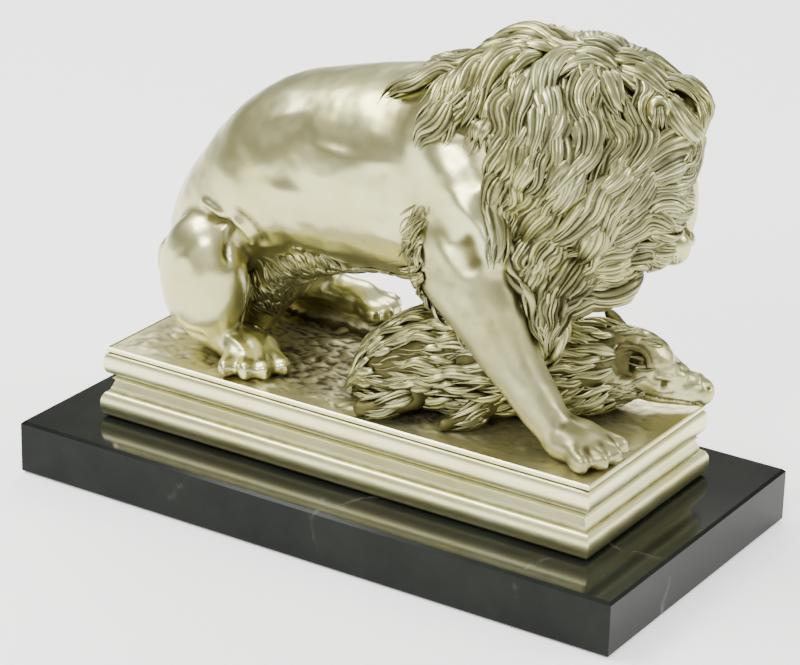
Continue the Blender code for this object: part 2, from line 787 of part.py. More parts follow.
def build_figure():
    """The lion, the boar and the soil they are on, melted into one skin."""
    rng = random.Random(SEED)
    ball = make_ball()
    bm = bmesh.new()
    add_figure_core(bm, ball)
    core_mesh = bpy.data.meshes.new("core")
    bm.to_mesh(core_mesh)
    core = soften_trunk(fuse(core_mesh, CORE_VOXEL, CORE_SOFTEN_STEPS), TRUNK_SOFTEN_STEPS)
    smooth_core = bmesh.new()
    smooth_core.from_mesh(core)
    tree = BVHTree.FromBMesh(smooth_core)
    places = [v.co.copy() for v in smooth_core.verts]
    smooth_core.free()
    bm.free()
    bm = bmesh.new()
    bm.from_mesh(core)
    add_face(bm, ball)
    add_boar_details(bm, ball)
    add_hair(bm, tree, places, rng)
    add_ground(bm, ball)
    skin_mesh = bpy.data.meshes.new("skin")
    bm.to_mesh(skin_mesh)
    bm.free()
    skin = fuse(skin_mesh, SKIN_VOXEL, SKIN_SOFTEN_STEPS, FIGURE_FACES)
    bm = bmesh.new()
    bm.from_mesh(skin)
    keep_largest(bm)
    bm.transform(Matrix.Translation((0, 0, GROUND)) @ Matrix.Scale(UNIT, 4))
    return new_object("figure", bm)


def add_moulding(bm, length, width, profile):
    """A rectangular block whose four sides all carry one profile of (inset, height), bottom first."""
    loops = []
    for inset, height in profile:
        x = length / 2 - inset
        y = width / 2 - inset
        corners = ((-x, -y), (x, -y), (x, y), (-x, y))
        loops.append([bm.verts.new((*corner, height)) for corner in corners])
    for lower, upper in zip(loops, loops[1:]):
        for k in range(4):
            after = (k + 1) % 4
            bm.faces.new((lower[k], lower[after], upper[after], upper[k]))
    bm.faces.new(loops[0][::-1])
    bm.faces.new(loops[-1])


def arc(inset, height, bulge, rise, steps):
    """Profile points along half an oval that bulges outwards from one level to another."""
    found = []
    for k in range(steps + 1):
        angle = math.pi * k / steps
        found.append((inset - bulge * math.sin(angle), height + rise * (1 - math.cos(angle)) / 2))
    return found


def base_profile():
    """The moulding of the base, from its foot to its rim, as (inset, height)."""
    face_foot = TORUS_HEIGHT + QUIRK_HEIGHT
    lip_foot = BASE_HEIGHT - LIP_HEIGHT - RIM_HEIGHT
    rim_foot = lip_foot + LIP_HEIGHT
    groove = FACE_INSET + GROOVE_DEPTH
    lip_inset = LIP_INSET + LIP_BULGE
    profile = arc(TORUS_BULGE, 0.0, TORUS_BULGE, TORUS_HEIGHT, TORUS_STEPS)
    profile += [
        (TORUS_BULGE + STEP_DEPTH, TORUS_HEIGHT + EASE),
        (TORUS_BULGE + STEP_DEPTH, face_foot),
        (FACE_INSET, face_foot + GROOVE_DEPTH),
        (FACE_INSET + FACE_HOLLOW, (face_foot + lip_foot) / 2),
        (FACE_INSET, lip_foot - GROOVE_HEIGHT),
        (groove, lip_foot - GROOVE_HEIGHT + GROOVE_DEPTH),
        (groove, lip_foot - EASE),
    ]
    profile += arc(lip_inset, lip_foot, LIP_BULGE, LIP_HEIGHT, LIP_STEPS)
    profile += [
        (lip_inset + RIM_EDGE, rim_foot + RIM_EDGE),
        (LIP_INSET + RIM_STEP, rim_foot + 2 * RIM_EDGE),
        (LIP_INSET + RIM_STEP, BASE_HEIGHT - RIM_EDGE),
        (LIP_INSET + RIM_STEP + RIM_EDGE, BASE_HEIGHT),
    ]
    return profile


def build_base():
    """The moulded base that the figure is joined to."""
    bm = bmesh.new()
    add_moulding(bm, BASE_LENGTH, BASE_WIDTH, [(i, BASE_FOOT + h) for i, h in base_profile()])
    return new_object("bronze_lion_group", bm)


def build_plinth():
    """The marble slab, with its edges taken off all round."""
    bm = bmesh.new()
    length = BASE_LENGTH + 2 * PLINTH_MARGIN
    width = BASE_WIDTH + 2 * PLINTH_MARGIN
    lower = ((PLINTH_EDGE, 0.0), (0.0, PLINTH_EDGE))
    upper = ((0.0, PLINTH_TOP - PLINTH_EDGE), (PLINTH_EDGE, PLINTH_TOP))
    add_moulding(bm, length, width, lower + upper)
    return new_object("marble_plinth", bm)


def set_material(obj, name, colour, metallic, roughness):
    """One plain material for a piece."""
    material = bpy.data.materials.new(name)
    material.use_nodes = True
    shader = material.node_tree.nodes["Principled BSDF"]
    shader.inputs["Base Color"].default_value = (*colour, 1.0)
    shader.inputs["Metallic"].default_value = metallic
    shader.inputs["Roughness"].default_value = roughness
    obj.data.materials.clear()
    obj.data.materials.append(material)


def main():
    for old in list(bpy.data.objects):
        bpy.data.objects.remove(old)
    figure = build_figure()
    base = build_base()
    join = base.modifiers.new("Join", "BOOLEAN")
    join.operation = "UNION"
    join.solver = "EXACT"
    join.object = figure
    figure.hide_render = True
    figure.display_type = "WIRE"
    plinth = build_plinth()
    set_material(base, "bronze", (0.62, 0.56, 0.40), 1.0, 0.32)
    set_material(plinth, "black_marble", (0.02, 0.022, 0.02), 0.0, 0.12)


main()
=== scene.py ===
"""The looks of a lion crouching over a wild boar: one bronze cast with a moulded base, on black marble.

The frame has +X towards the lion's head, +Z up, and its origin in the middle of the plinth's underside.
The figure is shaped in table units, 170ths of its height, with z counted from the ground, and it is
moved to its base when it is done.
"""

import math
import random

import bmesh
import bpy
import numpy as np
from mathutils import Matrix, Vector, noise
from mathutils.bvhtree import BVHTree

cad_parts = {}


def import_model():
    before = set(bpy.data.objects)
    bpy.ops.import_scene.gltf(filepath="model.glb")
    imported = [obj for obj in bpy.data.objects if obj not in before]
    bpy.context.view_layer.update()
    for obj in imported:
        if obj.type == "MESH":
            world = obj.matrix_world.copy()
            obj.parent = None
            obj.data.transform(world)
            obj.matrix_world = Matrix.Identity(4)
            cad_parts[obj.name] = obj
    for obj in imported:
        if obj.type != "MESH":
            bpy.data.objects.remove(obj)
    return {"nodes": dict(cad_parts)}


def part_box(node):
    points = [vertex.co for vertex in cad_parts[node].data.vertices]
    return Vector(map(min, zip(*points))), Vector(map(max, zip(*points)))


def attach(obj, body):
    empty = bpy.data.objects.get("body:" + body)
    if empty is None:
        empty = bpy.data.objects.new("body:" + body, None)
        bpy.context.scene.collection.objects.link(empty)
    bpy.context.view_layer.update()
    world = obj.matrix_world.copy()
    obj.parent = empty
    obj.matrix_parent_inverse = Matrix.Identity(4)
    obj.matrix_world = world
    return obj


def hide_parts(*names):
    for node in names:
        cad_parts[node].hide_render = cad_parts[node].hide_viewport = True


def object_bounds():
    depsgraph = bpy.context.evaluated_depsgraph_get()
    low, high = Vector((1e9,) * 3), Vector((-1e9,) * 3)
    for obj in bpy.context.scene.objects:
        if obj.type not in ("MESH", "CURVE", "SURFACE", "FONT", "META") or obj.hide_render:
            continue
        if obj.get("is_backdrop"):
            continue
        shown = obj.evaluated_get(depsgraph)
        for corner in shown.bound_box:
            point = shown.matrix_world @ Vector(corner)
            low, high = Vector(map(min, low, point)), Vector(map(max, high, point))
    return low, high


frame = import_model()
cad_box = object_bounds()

# Driving sizes in metres, as in the solids.
BASE_LENGTH = 0.250
BASE_WIDTH = 0.105
BASE_HEIGHT = 0.033
TORUS_HEIGHT = 0.0115
QUIRK_HEIGHT = 0.0015
LIP_HEIGHT = 0.0095
LIP_INSET = 0.0012
FACE_INSET = 0.0040
TORUS_BULGE = 0.0026
STEP_DEPTH = 0.0008
FACE_HOLLOW = 0.0009
GROOVE_DEPTH = 0.0012
GROOVE_HEIGHT = 0.0028
LIP_BULGE = 0.0016
RIM_STEP = 0.0010
RIM_EDGE = 0.0005
EASE = 0.0002
TORUS_STEPS = 16
LIP_STEPS = 14
RIM_WIDTH = 0.0035
RIM_HEIGHT = 0.0030
GROUND_SINK = 0.0008

# Each side of the base has this many parts, and waves this long and high.
BASE_PARTS = 64
WAVE_LENGTH = 0.022
WAVE_HEIGHT = 0.00022
BASE_CREASE = math.radians(32)

FIGURE_HEIGHT = 0.170
TABLE_HEIGHT = 170.0
UNIT = FIGURE_HEIGHT / TABLE_HEIGHT
SEED = 11

# The coarse core gives the hair the same courses as in the solids; the fine one is shown.
CORE_VOXEL = 2.2
CORE_SOFTEN = 6
FINE_VOXEL = 1.32
FINE_SOFTEN = 13
FINE_TRUNK_ROUNDS = 75
HEAD_VOXEL = 0.75
HEAD_SOFTEN = 7
BOAR_VOXEL = 0.95
BOAR_SOFTEN = 6

BASE_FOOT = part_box("bronze_lion_group")[0].z
GROUND = BASE_FOOT + BASE_HEIGHT - GROUND_SINK
TO_FRAME = Matrix.Translation((0, 0, GROUND)) @ Matrix.Scale(UNIT, 4)

# A place is (x, y, z); a station of a limb is (x, y, z, half height, half width).
TORSO = (
    (-105, 0, 30, 15, 20),
    (-93, 0, 49, 25.5, 29),
    (-76, 0, 68, 31.5, 36),
    (-50, 0, 87, 40, 38),
    (-17, 0, 94, 44.5, 40),
    (15, 0, 98, 47, 42),
    (42, 0, 102, 48, 40),
    (66, 0, 108, 40, 34),
)
TAIL = (
    (-112, 0, 42, 6.0, 6.0),
    (-124, -3, 31, 4.8, 4.8),
    (-126, 4, 14, 4.2, 4.2),
    (-117, 22, 6, 4.2, 4.2),
    (-100, 38, 5, 4.4, 4.4),
    (-80, 44, 6, 5.5, 6.5),
)
NEAR_FORELEG = (
    (50, -26, 104, 26, 15),
    (46, -36, 80, 20, 14),
    (60, -38, 65, 18.5, 13),
    (71, -37, 46, 13.5, 11.5),
    (80, -35, 32, 10.5, 10),
    (89, -31, 18, 9, 9.5),
    (97, -28, 9, 7.5, 10),
)
FAR_FORELEG = (
    (48, 26, 104, 26, 15),
    (40, 35, 78, 18, 14),
    (45, 37, 60, 15, 12),
    (48, 37, 42, 12, 11),
    (51, 36, 26, 10, 10),
    (55, 35, 13, 9, 9.5),
)
NEAR_ARM = (
    (44, -35, 114, 14, 9),
    (56, -39, 98, 11, 8),
    (67, -40, 82, 8, 7),
)
CHEST_STRAND = (
    (72, -24, 74, 6, 6),
    (76, -27, 52, 5, 5),
    (84, -28, 36, 3.8, 3.8),
    (94, -26, 22, 2.4, 2.4),
)
NEAR_SHANK = (
    (-88, -24, 12, 10, 9),
    (-74, -26, 10, 9, 10),
    (-60, -30, 8, 8, 12),
)
FAR_SHANK = (
    (-86, 32, 16, 10, 8),
    (-68, 37, 15, 9, 9),
    (-52, 39, 13, 7, 9),
)
GROIN = (
    (-76, 4, 12, 8, 13),
    (-68, 3, 30, 13, 17),
    (-56, 2, 46, 14, 20),
    (-34, 0, 53, 11, 20),
    (-14, 0, 56, 8, 18),
)
BOAR_BODY = (
    (0, -21, 7, 9, 12),
    (14, -19, 18, 17, 18),
    (34, -14, 23, 22, 21),
    (56, -5, 22, 21, 20),
    (76, 8, 21, 19, 18),
    (92, 20, 22, 18, 14),
)
BOAR_HEAD = (
    (86, 17, 22, 17, 14),
    (101, 27, 21, 17, 12),
    (110, 33, 15.5, 12, 9.5),
    (118, 39, 11.5, 8.5, 7),
    (123, 43, 9.5, 6.5, 6.5),
)

# Each mass is (centre, half sizes).
HAUNCHES = (
    ((-82, -33, 38), (21.5, 15, 30)),
    ((-76, 35, 40), (21, 14, 30)),
    ((-97, 0, 26), (21, 26, 25)),
    ((-52, 14, 60), (20, 18, 26)),
)
SHOULDERS = (
    ((38, -25, 108), (25, 17, 40)),
    ((38, 25, 108), (25, 17, 40)),
)
MANE = (
    ((26, 0, 113), (32, 37, 30)),
    ((60, 1, 117), (34, 41, 48)),
    ((84, 4, 119), (32, 41, 44)),
    ((94, 9, 117), (27, 35, 42)),
    ((79, -8, 84), (20, 23, 34)),
    ((78, -18, 58), (9, 9, 22)),
    ((66, 4, 74), (18, 22, 30)),
    ((93, 4, 84), (19, 21, 25)),
)
ROCKS = (
    ((-56, 39, 0), (34, 10, 7)),
    ((-20, 10, -2), (46, 24, 4)),
    ((24, 38, -2), (40, 12, 5)),
    ((108, -2, -2), (16, 20, 4)),
)
GROUND_PARTS = (230, 94)
SOIL_LEVEL = 0.45
SOIL_LOWEST = 0.1
BOAR_EAR = (105, 14, 29)
BOAR_EAR_RIM = (1.2, 1.5)
BOAR_LEGS = (
    ((62, 22, 8, 6, 6), (76, 34, 6, 4.5, 4.5), (88, 42, 5, 3.5, 4)),
    ((18, 0, 8, 7, 7), (8, 14, 6, 5, 5), (-6, 22, 4, 3.5, 4)),
    ((28, -34, 10, 6, 6), (19, -42, 6, 4.2, 4.2), (9, -46, 4, 3.2, 3.6)),
    ((58, -24, 10, 5, 5), (52, -32, 5, 3.6, 3.6), (46, -38, 3, 2.8, 3.2)),
)
SNOUT = (123.5, 43.5, 9.5)
SNOUT_SIZE = (3, 6.8, 7.2)
SNOUT_TURN = math.radians(38)

HEAD_CENTRE = (106, 14, 121)
HEAD_REACH = 33
HEAD_YAW = math.radians(35)
HEAD_NOD = math.radians(86)

TRUNK_BACK = -96
TRUNK_FRONT = 66
TRUNK_FOOT = 70
TRUNK_ROUNDS = 25

# Scattered hair is (how many, spacing, length, wave), in table units.
MANE_LOCKS = (170, 7.6, (28, 50), 1.0)
MANE_FILLERS = (160, 4.2, (14, 24), 0.5)
MANE_HAIRS = (420, 3.0, (14, 34), 1.1)
BRISTLES = (90, 5.0, (16, 26), 0.5)
COAT_FILLERS = (240, 2.8, (12, 24), 0.7)
COAT_HAIRS = (340, 2.3, (8, 20), 0.6)
# Its widths or radii, and its lifts above the skin.
MANE_FILLER_WIDTH, MANE_FILLER_LIFT = (2.8, 4.0), (0.4, 1.4)
MANE_HAIR_RADIUS, MANE_HAIR_LIFT = (0.45, 0.95), (0.5, 5.0)
BRISTLE_WIDTH, BRISTLE_LIFT = (2.2, 3.0), 1.0
COAT_FILLER_WIDTH, COAT_FILLER_LIFT = (1.4, 2.6), (0.6, 2.8)
COAT_HAIR_RADIUS, COAT_HAIR_LIFT = (0.25, 0.48), (0.4, 2.8)
MANE_WIDTH = (3.6, 5.0)
MANE_LIFT = (1.0, 3.8)
MANE_CREST = 131
MANE_BACK = 2
MANE_SIDE = 67
MANE_SLANT = 0.12
MANE_SLANT_TOP = 96
MANE_FOOT = 36
MANE_TOP_WAY = (-0.58, 0.0, -0.81)
MANE_LOW_WAY = (-0.15, 0.0, -1.0)
MANE_LOW_SPAN = (90, 115)
FACE_FLOW_SPAN = (26, 56)
EAR_ROOM = 9.5
EAR_PLACE = (23, -27, 3)
EAR_SIZE = (8, 8, 5)
CUPPED_EAR = (4.4, 5.2, 4.8)
EAR_STUB = (2.5, 2.5, 2.5)
FACE_NEAR = 10.5
FACE_TOP = 2
FACE_FOOT = 62
FACE_ROOM = 3.0
FACE_FAR = 14
BOAR_COAT_SPAN = (0, 100)
BOAR_COAT_LEVELS = (3, 44)
BOAR_COAT_SLANT = 0.55
BRISTLE_FAN = 30
LOCK_STEP = 2.0
SHORTEST = 4
FOREARM_TOP = 62
SHOULDER_TOP = 127
SHOULDER_RAGGED = 4
SHOULDER_FOOT = 84
SHOULDER_FRONT = 63
SHOULDER_SIDE = 20
LOCK_PITCH = (15, 24)
LOCK_SWAY = (1.2, 2.4)
FUR_TURN = 0.6
SHINGLE_LEAST, SHINGLE_TAIL = 8, 6
SHINGLE_STEPS = (14, 20)
SHINGLE_LAP = 0.62
# The pieces of hair, each with its number of rings per step of a lock.
HAIR_RINGS = {"mane_near": 1.1, "mane_far": 0.65, "mane_crest": 1.1, "boar_bristles": 0.9, "fringes": 0.9}
CREST_HALF = 12
LOCK_DEPTH = 0.80
TUFT_WIDTH, TUFT_LIFT = 4.2, 4.0
MANE_BARE, COAT_BARE = 3.6, 1.6
BOAR_EAR_ROOM = 7.5
EAR_TUFTS = 4
LEG_LOCKS = 9
# Fur on the boar's head is (first place, last place, spread, number of locks).
BOAR_FUR = (
    ((97, 26, 38), (108, 32, 27), 3.4, 80),
    ((97, 18, 18), (107, 24, 10), 3.0, 50),
    ((99, 10, 34), (110, 19, 23), 3.6, 40),
)
BOAR_FUR_WAY = (-0.80, -0.55, 0.10)
BOAR_FUR_LENGTH = (7, 12)
FUR_HAIRS = 4
HAIR_SIDES = 4
RIDGE_ARC = 1.75
RIDGE_SHOULDERS = (0.30, 0.70)
TRESS_BACK = (2.5, 3.78)
GROOVE = 0.84
# A lock's tresses: (seat across the lock, share of its width, height of its middle, ridges).
MANE_TRESSES = ((0.0, 0.78, 0.28, 5), (-0.72, 0.42, -0.06, 2), (0.72, 0.42, -0.06, 2))
BRISTLE_TRESSES = ((-0.38, 0.60, -0.05, 2), (0.38, 0.62, 0.18, 3))
FUR_TRESSES = ((0.0, 1.0, 0.0, 4),)
FILLER_TRESSES = ((0.0, 1.0, 0.15, 5),)

# The courses of the chief locks; the others follow the nearest of them. The neck's are mirrored
# across the lion, the head's across the turned head.
NECK_GUIDES = (
    ((24, -12, 145), (12, -19, 140), (3, -24, 134)),
    ((41, -11, 154), (41, -27, 147), (40, -37, 135), (33, -39, 129), (30, -40, 122)),
    ((52, -17, 158), (46, -18, 155), (44, -29, 145), (39, -36, 137)),
    ((60, -11, 163), (57, -16, 160), (55, -26, 152), (55, -34, 140)),
    ((70, -19, 156), (75, -32, 138), (76, -35, 127), (67, -39, 114), (66, -42, 100)),
    ((74, -7, 160), (81, -26, 148), (85, -33, 137), (82, -36, 125), (72, -37, 109)),
    ((88, -2, 162), (80, -8, 160), (80, -21, 153), (87, -29, 145), (88, -34, 134)),
    ((84, -6, 164), (64, -8, 165), (40, -8, 158), (22, -8, 148)),
    ((98, -31, 131), (95, -34, 115), (84, -33, 101), (75, -30, 84), (76, -34, 71), (81, -31, 52)),
    ((106, -26, 118), (100, -29, 106), (88, -29, 94), (83, -30, 79), (78, -31, 63)),
)
HEAD_GUIDES = (
    ((99, 0, 158), (109, 2, 153), (118, 8, 144), (124, 13, 134), (125, 14, 124)),
    ((93, -4, 160), (93, -22, 150), (100, -25, 141), (100, -30, 129), (93, -35, 118), (84, -35, 108)),
    ((94, -6, 159), (99, -11, 154), (104, -13, 147), (109, -9, 143)),
    ((103, 6, 156), (111, -1, 148), (115, -8, 134), (112, -15, 125), (107, -24, 118), (102, -29, 111)),
    ((126, 17, 133), (122, 5, 132), (116, -8, 128), (112, -17, 117)),
    ((125, 10, 122), (123, 1, 123), (116, -11, 118), (112, -16, 108), (106, -15, 94)),
    ((123, 6, 110), (121, -3, 113), (114, -13, 109), (107, -17, 98)),
    ((122, 6, 99), (121, -3, 103), (112, -11, 98), (101, -18, 90)),
    ((116, 12, 81), (113, 3, 83), (105, -12, 82), (96, -19, 78)),
    ((108, 8, 71), (106, -4, 68), (96, -12, 67), (92, -21, 67)),
    ((106, -22, 103), (98, -19, 88), (93, -24, 79), (88, -25, 67), (84, -23, 46)),
)
# Along the crown the hair parts at one place and runs back over the crest and forward to the brow.
CROWN_GUIDES = (
    ((91, 2, 163), (72, 0, 166), (48, 0, 163), (26, 0, 151), (8, 0, 143)),
    ((97, 4, 160), (108, 9, 154), (118, 14, 146), (124, 19, 134), (125, 21, 124)),
)
# Tufts that lie across the parting at the crown.
CROWN_TUFTS = (
    ((99, 0, 159), (93, -3, 162), (86, -6, 163), (78, -11, 161)),
    ((98, 9, 159), (92, 7, 163), (83, 4, 165), (73, 2, 166)),
    ((97, -4, 158), (91, -9, 159), (85, -15, 157), (82, -21, 152)),
    ((94, 14, 158), (88, 15, 160), (80, 17, 159), (72, 19, 157)),
    ((92, 1, 163), (97, 6, 161), (104, 11, 157), (111, 15, 151)),
)
GUIDE_REACH = 9.0
GUIDE_WIDTH = 5.2
GUIDE_LIFT = 3.6
GUIDE_LIFT_SPAN = (0, 36)
GUIDE_FREEDOM = 0.12
# A single long lock hangs beside the near forearm.
STRAY_LOCK = ((76, -26, 76), (78, -27, 64), (81, -28, 54), (85, -29, 45))
STRAY_WIDTH = 3.0
# Short locks lie back from the muzzle: their roots' span down the face and distance from its middle.
WHISKER_SPAN = (12, 50)
WHISKER_ROWS = 15
WHISKER_SIDE = (11, 15)
WHISKER_NEAR = (7.5,)
WHISKER_LENGTH = (18, 28)
WHISKER_WIDTH = (2.4, 3.4)
WHISKER_LIFT = (1.5, 3.0)
WHISKER_NEAR_LIFT = 2.2

# Short fur is (first place, last place, spread, number of locks, way it lies, length).
FUR = (
    ((30, -42, 100), (36, -44, 54), 10, 30, (-0.55, -0.1, -0.8), 14),
    ((30, 42, 100), (36, 42, 54), 9, 12, (-0.55, 0.1, -0.8), 13),
    ((-24, -16, 50), (30, -16, 54), 5, 14, (0.75, -0.1, -0.5), 10),
    ((-24, 14, 50), (30, 14, 54), 5, 10, (0.75, 0.1, -0.5), 10),
    ((-72, -14, 32), (-24, -24, 54), 10, 36, (0.45, -0.1, -0.85), 12),
    ((-74, -10, 18), (-50, -12, 34), 6, 12, (0.45, -0.1, -0.85), 11),
    ((-74, 16, 24), (-34, 16, 46), 8, 16, (0.4, 0.1, -0.85), 12),
    ((-88, 44, 6), (-78, 46, 6), 2, 4, (0.95, 0.1, 0.0), 15),
)
FUR_WIDTH = (1.8, 2.6)
FUR_BACK = 30
FUR_CEILING = 100
ELBOW_LIFT = 2.4
ELBOW_SPAN = (20, 40)

# Strokes of the modelling tool on the lion's skin: (height, reach, places); a sunk stroke is negative.
THIGH_STROKES = (
    (1.9, 1.7, ((-84, -34, 73), (-78, -36, 73), (-72, -37, 71), (-68, -38, 69))),
    (1.9, 1.7, ((-66, -38, 70), (-61, -38, 67), (-57, -38, 61), (-56, -36, 54), (-57, -34, 47))),
    (-2.4, 2.2, ((-80, -38, 69), (-72, -40, 67), (-66, -41, 64), (-62, -41, 57), (-61, -40, 48))),
    (-1.2, 2.4, ((-66, -36, 76), (-57, -38, 71), (-52, -37, 62), (-51, -35, 50))),
    (-1.8, 4.0, ((-96, -36, 16), (-86, -40, 13), (-74, -42, 12))),
    (0.9, 5.0, ((-84, -48, 54), (-78, -49, 48), (-74, -49, 40))),
)
SHANK_STROKES = (
    (0.9, 1.4, ((-72, -34, 17), (-62, -37, 14), (-54, -40, 10))),
    (0.9, 1.4, ((-70, -29, 19), (-59, -31, 16), (-50, -33, 11))),
    (-0.9, 1.3, ((-71, -32, 18), (-61, -34, 15), (-53, -37, 11))),
)
SIDE_STROKES = (
    (-2.0, 13.0, ((-46, -38, 128), (-38, -42, 108), (-36, -42, 88))),
    (-1.6, 9.0, ((12, -41, 112), (14, -43, 98), (10, -42, 80))),
    (1.6, 9.0, ((26, -38, 130), (38, -42, 118), (44, -43, 104))),
    (-1.5, 8.0, ((48, -40, 134), (56, -42, 124), (62, -43, 112))),
    (1.2, 14.0, ((-14, -40, 116), (-14, -43, 96))),
)
ARM_STROKES = (
    (1.0, 3.8, ((46, -45, 110), (54, -47, 105), (63, -47, 98), (72, -46, 88), (77, -44, 78))),
    (-1.6, 7.0, ((56, -49, 94), (62, -50, 87), (67, -49, 80))),
    (1.0, 4.0, ((43, -50, 94), (48, -51, 86), (56, -51, 79), (64, -50, 72))),
    (0.7, 3.2, ((62, -50, 72), (70, -48, 57), (79, -46, 41), (88, -41, 24))),
    (-0.7, 3.2, ((68, -48, 66), (77, -45, 48), (86, -42, 32))),
    (0.8, 1.6, ((90, -40, 22), (98, -37, 15), (106, -35, 9))),
    (0.8, 1.6, ((92, -33, 23), (102, -30, 16), (110, -28, 9))),
)


def both_sides(strokes):
    """The strokes and their mirror images on the far side."""
    return strokes + tuple((h, r, tuple((x, -y, z) for x, y, z in line)) for h, r, line in strokes)


def refine(rows, count):
    """Rows resampled to a count of rows along one smooth curve."""
    ends = np.vstack([rows[:1], rows, rows[-1:]])
    seats = np.linspace(0, len(rows) - 1, count)
    start = np.minimum(seats.astype(int), len(rows) - 2)
    t = (seats - start)[:, None]
    a, b, c, d = (ends[start + k] for k in range(4))
    bend = (2 * a - 5 * b + 4 * c - d) * t * t + (3 * b - a - 3 * c + d) * t ** 3
    return 0.5 * (2 * b + (c - a) * t + bend)


def smooth_stations(stations, steps=5):
    """The stations of a limb, with more between them on one smooth curve."""
    return refine(np.array(stations, dtype=float), (len(stations) - 1) * steps + 1).tolist()


def smooth_line(line, steps=5):
    """Places with more between them on one smooth curve."""
    return [Vector(place) for place in smooth_stations(line, steps)]


def skin_loops(bm, loops):
    """The faces of a closed tube through loops of vertices."""
    count = len(loops[0])
    for lower, upper in zip(loops, loops[1:]):
        for k in range(count):
            after = (k + 1) % count
            bm.faces.new((lower[k], lower[after], upper[after], upper[k]))
    bm.faces.new(loops[0][::-1])
    bm.faces.new(loops[-1])


def add_tube(bm, rings, sides):
    """A closed tube; each ring is (centre, one half axis, the other half axis)."""
    loops = []
    for centre, across, up in rings:
        turns = [2 * math.pi * k / sides for k in range(sides)]
        loops.append([bm.verts.new(centre + across * math.cos(a) + up * math.sin(a)) for a in turns])
    skin_loops(bm, loops)


def add_limb(bm, stations, sides=24, cap_rings=4):
    """A tube of oval rings through the stations, with rounded ends."""
    path = smooth_stations(stations)
    centres = [Vector(s[:3]) for s in path]
    rings = []
    for i, station in enumerate(path):
        along = (centres[min(i + 1, len(path) - 1)] - centres[max(i - 1, 0)]).normalized()
        across = (Vector((0, 1, 0)) - along * along.y).normalized()
        rings.append((centres[i], across * station[4], along.cross(across) * station[3]))

    def cap(ring, way):
        centre, across, up = ring
        reach = way * 0.5 * (across.length + up.length)
        angles = [math.pi / 2 * k / (cap_rings + 1) for k in range(1, cap_rings + 1)]
        return [(centre + reach * math.sin(a), across * math.cos(a), up * math.cos(a)) for a in angles]

    start = (centres[0] - centres[1]).normalized()
    end = (centres[-1] - centres[-2]).normalized()
    add_tube(bm, cap(rings[0], start)[::-1] + rings + cap(rings[-1], end), sides)


def mesh_of(name, bm):
    """A mesh from a bmesh, which is freed."""
    mesh = bpy.data.meshes.new(name)
    bm.to_mesh(mesh)
    bm.free()
    return mesh


def bm_of(mesh):
    bm = bmesh.new()
    bm.from_mesh(mesh)
    return bm


def add_object(name, data):
    obj = bpy.data.objects.new(name, data)
    bpy.context.scene.collection.objects.link(obj)
    return obj


def make_ball():
    """A unit ball that the masses are copied from."""
    bm = bmesh.new()
    bmesh.ops.create_uvsphere(bm, u_segments=32, v_segments=20, radius=1.0)
    return mesh_of("ball", bm)


def add_mass(bm, ball, centre, half_sizes, turn=None):
    """An ellipsoid, turned by a 3 by 3 matrix if one is given."""
    turn = (turn or Matrix.Identity(3)).to_4x4()
    matrix = Matrix.Translation(centre) @ turn @ Matrix.Diagonal((*half_sizes, 1))
    ball.transform(matrix)
    bm.from_mesh(ball)
    ball.transform(matrix.inverted())


def head_turn():
    """The head's own axes: x across it to the lion's right, y from crown to nose, z out of the forehead."""
    out = Vector((math.cos(HEAD_YAW), math.sin(HEAD_YAW), 0))
    down = Vector((0, 0, -1))
    to_nose = (out * math.cos(HEAD_NOD) + down * math.sin(HEAD_NOD)).normalized()
    forehead = (out * math.sin(HEAD_NOD) - down * math.cos(HEAD_NOD)).normalized()
    across = to_nose.cross(forehead)
    return Matrix((across, to_nose, forehead)).transposed()


HEAD_TURN = head_turn()


def head_spot(*place):
    """The world place of a place in the head's own axes."""
    return Vector(HEAD_CENTRE) + HEAD_TURN @ Vector(place)


def add_head_mass(bm, ball, place, half_sizes, tilt=0.0):
    """A mass in the head's own axes, tilted in the plane of the face."""
    add_mass(bm, ball, head_spot(*place), half_sizes, HEAD_TURN @ Matrix.Rotation(tilt, 3, "Z"))


# The skull and the muzzle, as (place, half sizes) in the head's own axes. The cheek is on both sides.
HEAD_MASSES = (
    ((0, 0, 0), (22, 24, 19)),
    ((0, -4, 7), (18, 16, 11)),
    ((0, -18, 11), (15, 10, 12)),
    ((0, 18, 9), (8, 22, 9)),
    ((0, 33, 4), (13, 13, 11)),
    ((0, 40, -4), (9, 8, 8)),
)
CHEEK = ((15, 14, 4), (9, 14, 11))
# The bridge, the nose, the septum and the chin. Then, as (place, half sizes, tilt), what is on both sides:
# the lip, the brow, the cheekbone, the eye and the forehead.
FACE_MASSES = (
    ((0, 19, 16), (5.5, 18, 5.5)),
    ((0, 38, 15.5), (6.5, 4, 4.5)),
    ((0, 42.5, 12), (2.0, 4, 5)),
    ((0, 46, 3), (6.5, 5, 6)),
)
FACE_PAIRS = (
    ((6.0, 39, 10), (6.2, 8.5, 7.5), 0.25),
    ((9.5, 5.5, 16.5), (8.0, 3.0, 4.0), -0.35),
    ((14.0, 17, 8), (6.0, 10, 6.5), 0.2),
    ((9.0, 11.5, 14.5), (3.2, 2.6, 2.6), 0.0),
    ((6.5, -8, 16), (5.5, 12, 4.5), 0.15),
)


def add_head(bm, ball, ear=EAR_SIZE):
    """The lion's skull, muzzle and ears."""
    for place, half_sizes in HEAD_MASSES:
        add_head_mass(bm, ball, place, half_sizes)
    for side in (-1, 1):
        for (x, y, z), half_sizes in (CHEEK, (EAR_PLACE, ear)):
            add_head_mass(bm, ball, (side * x, y, z), half_sizes)


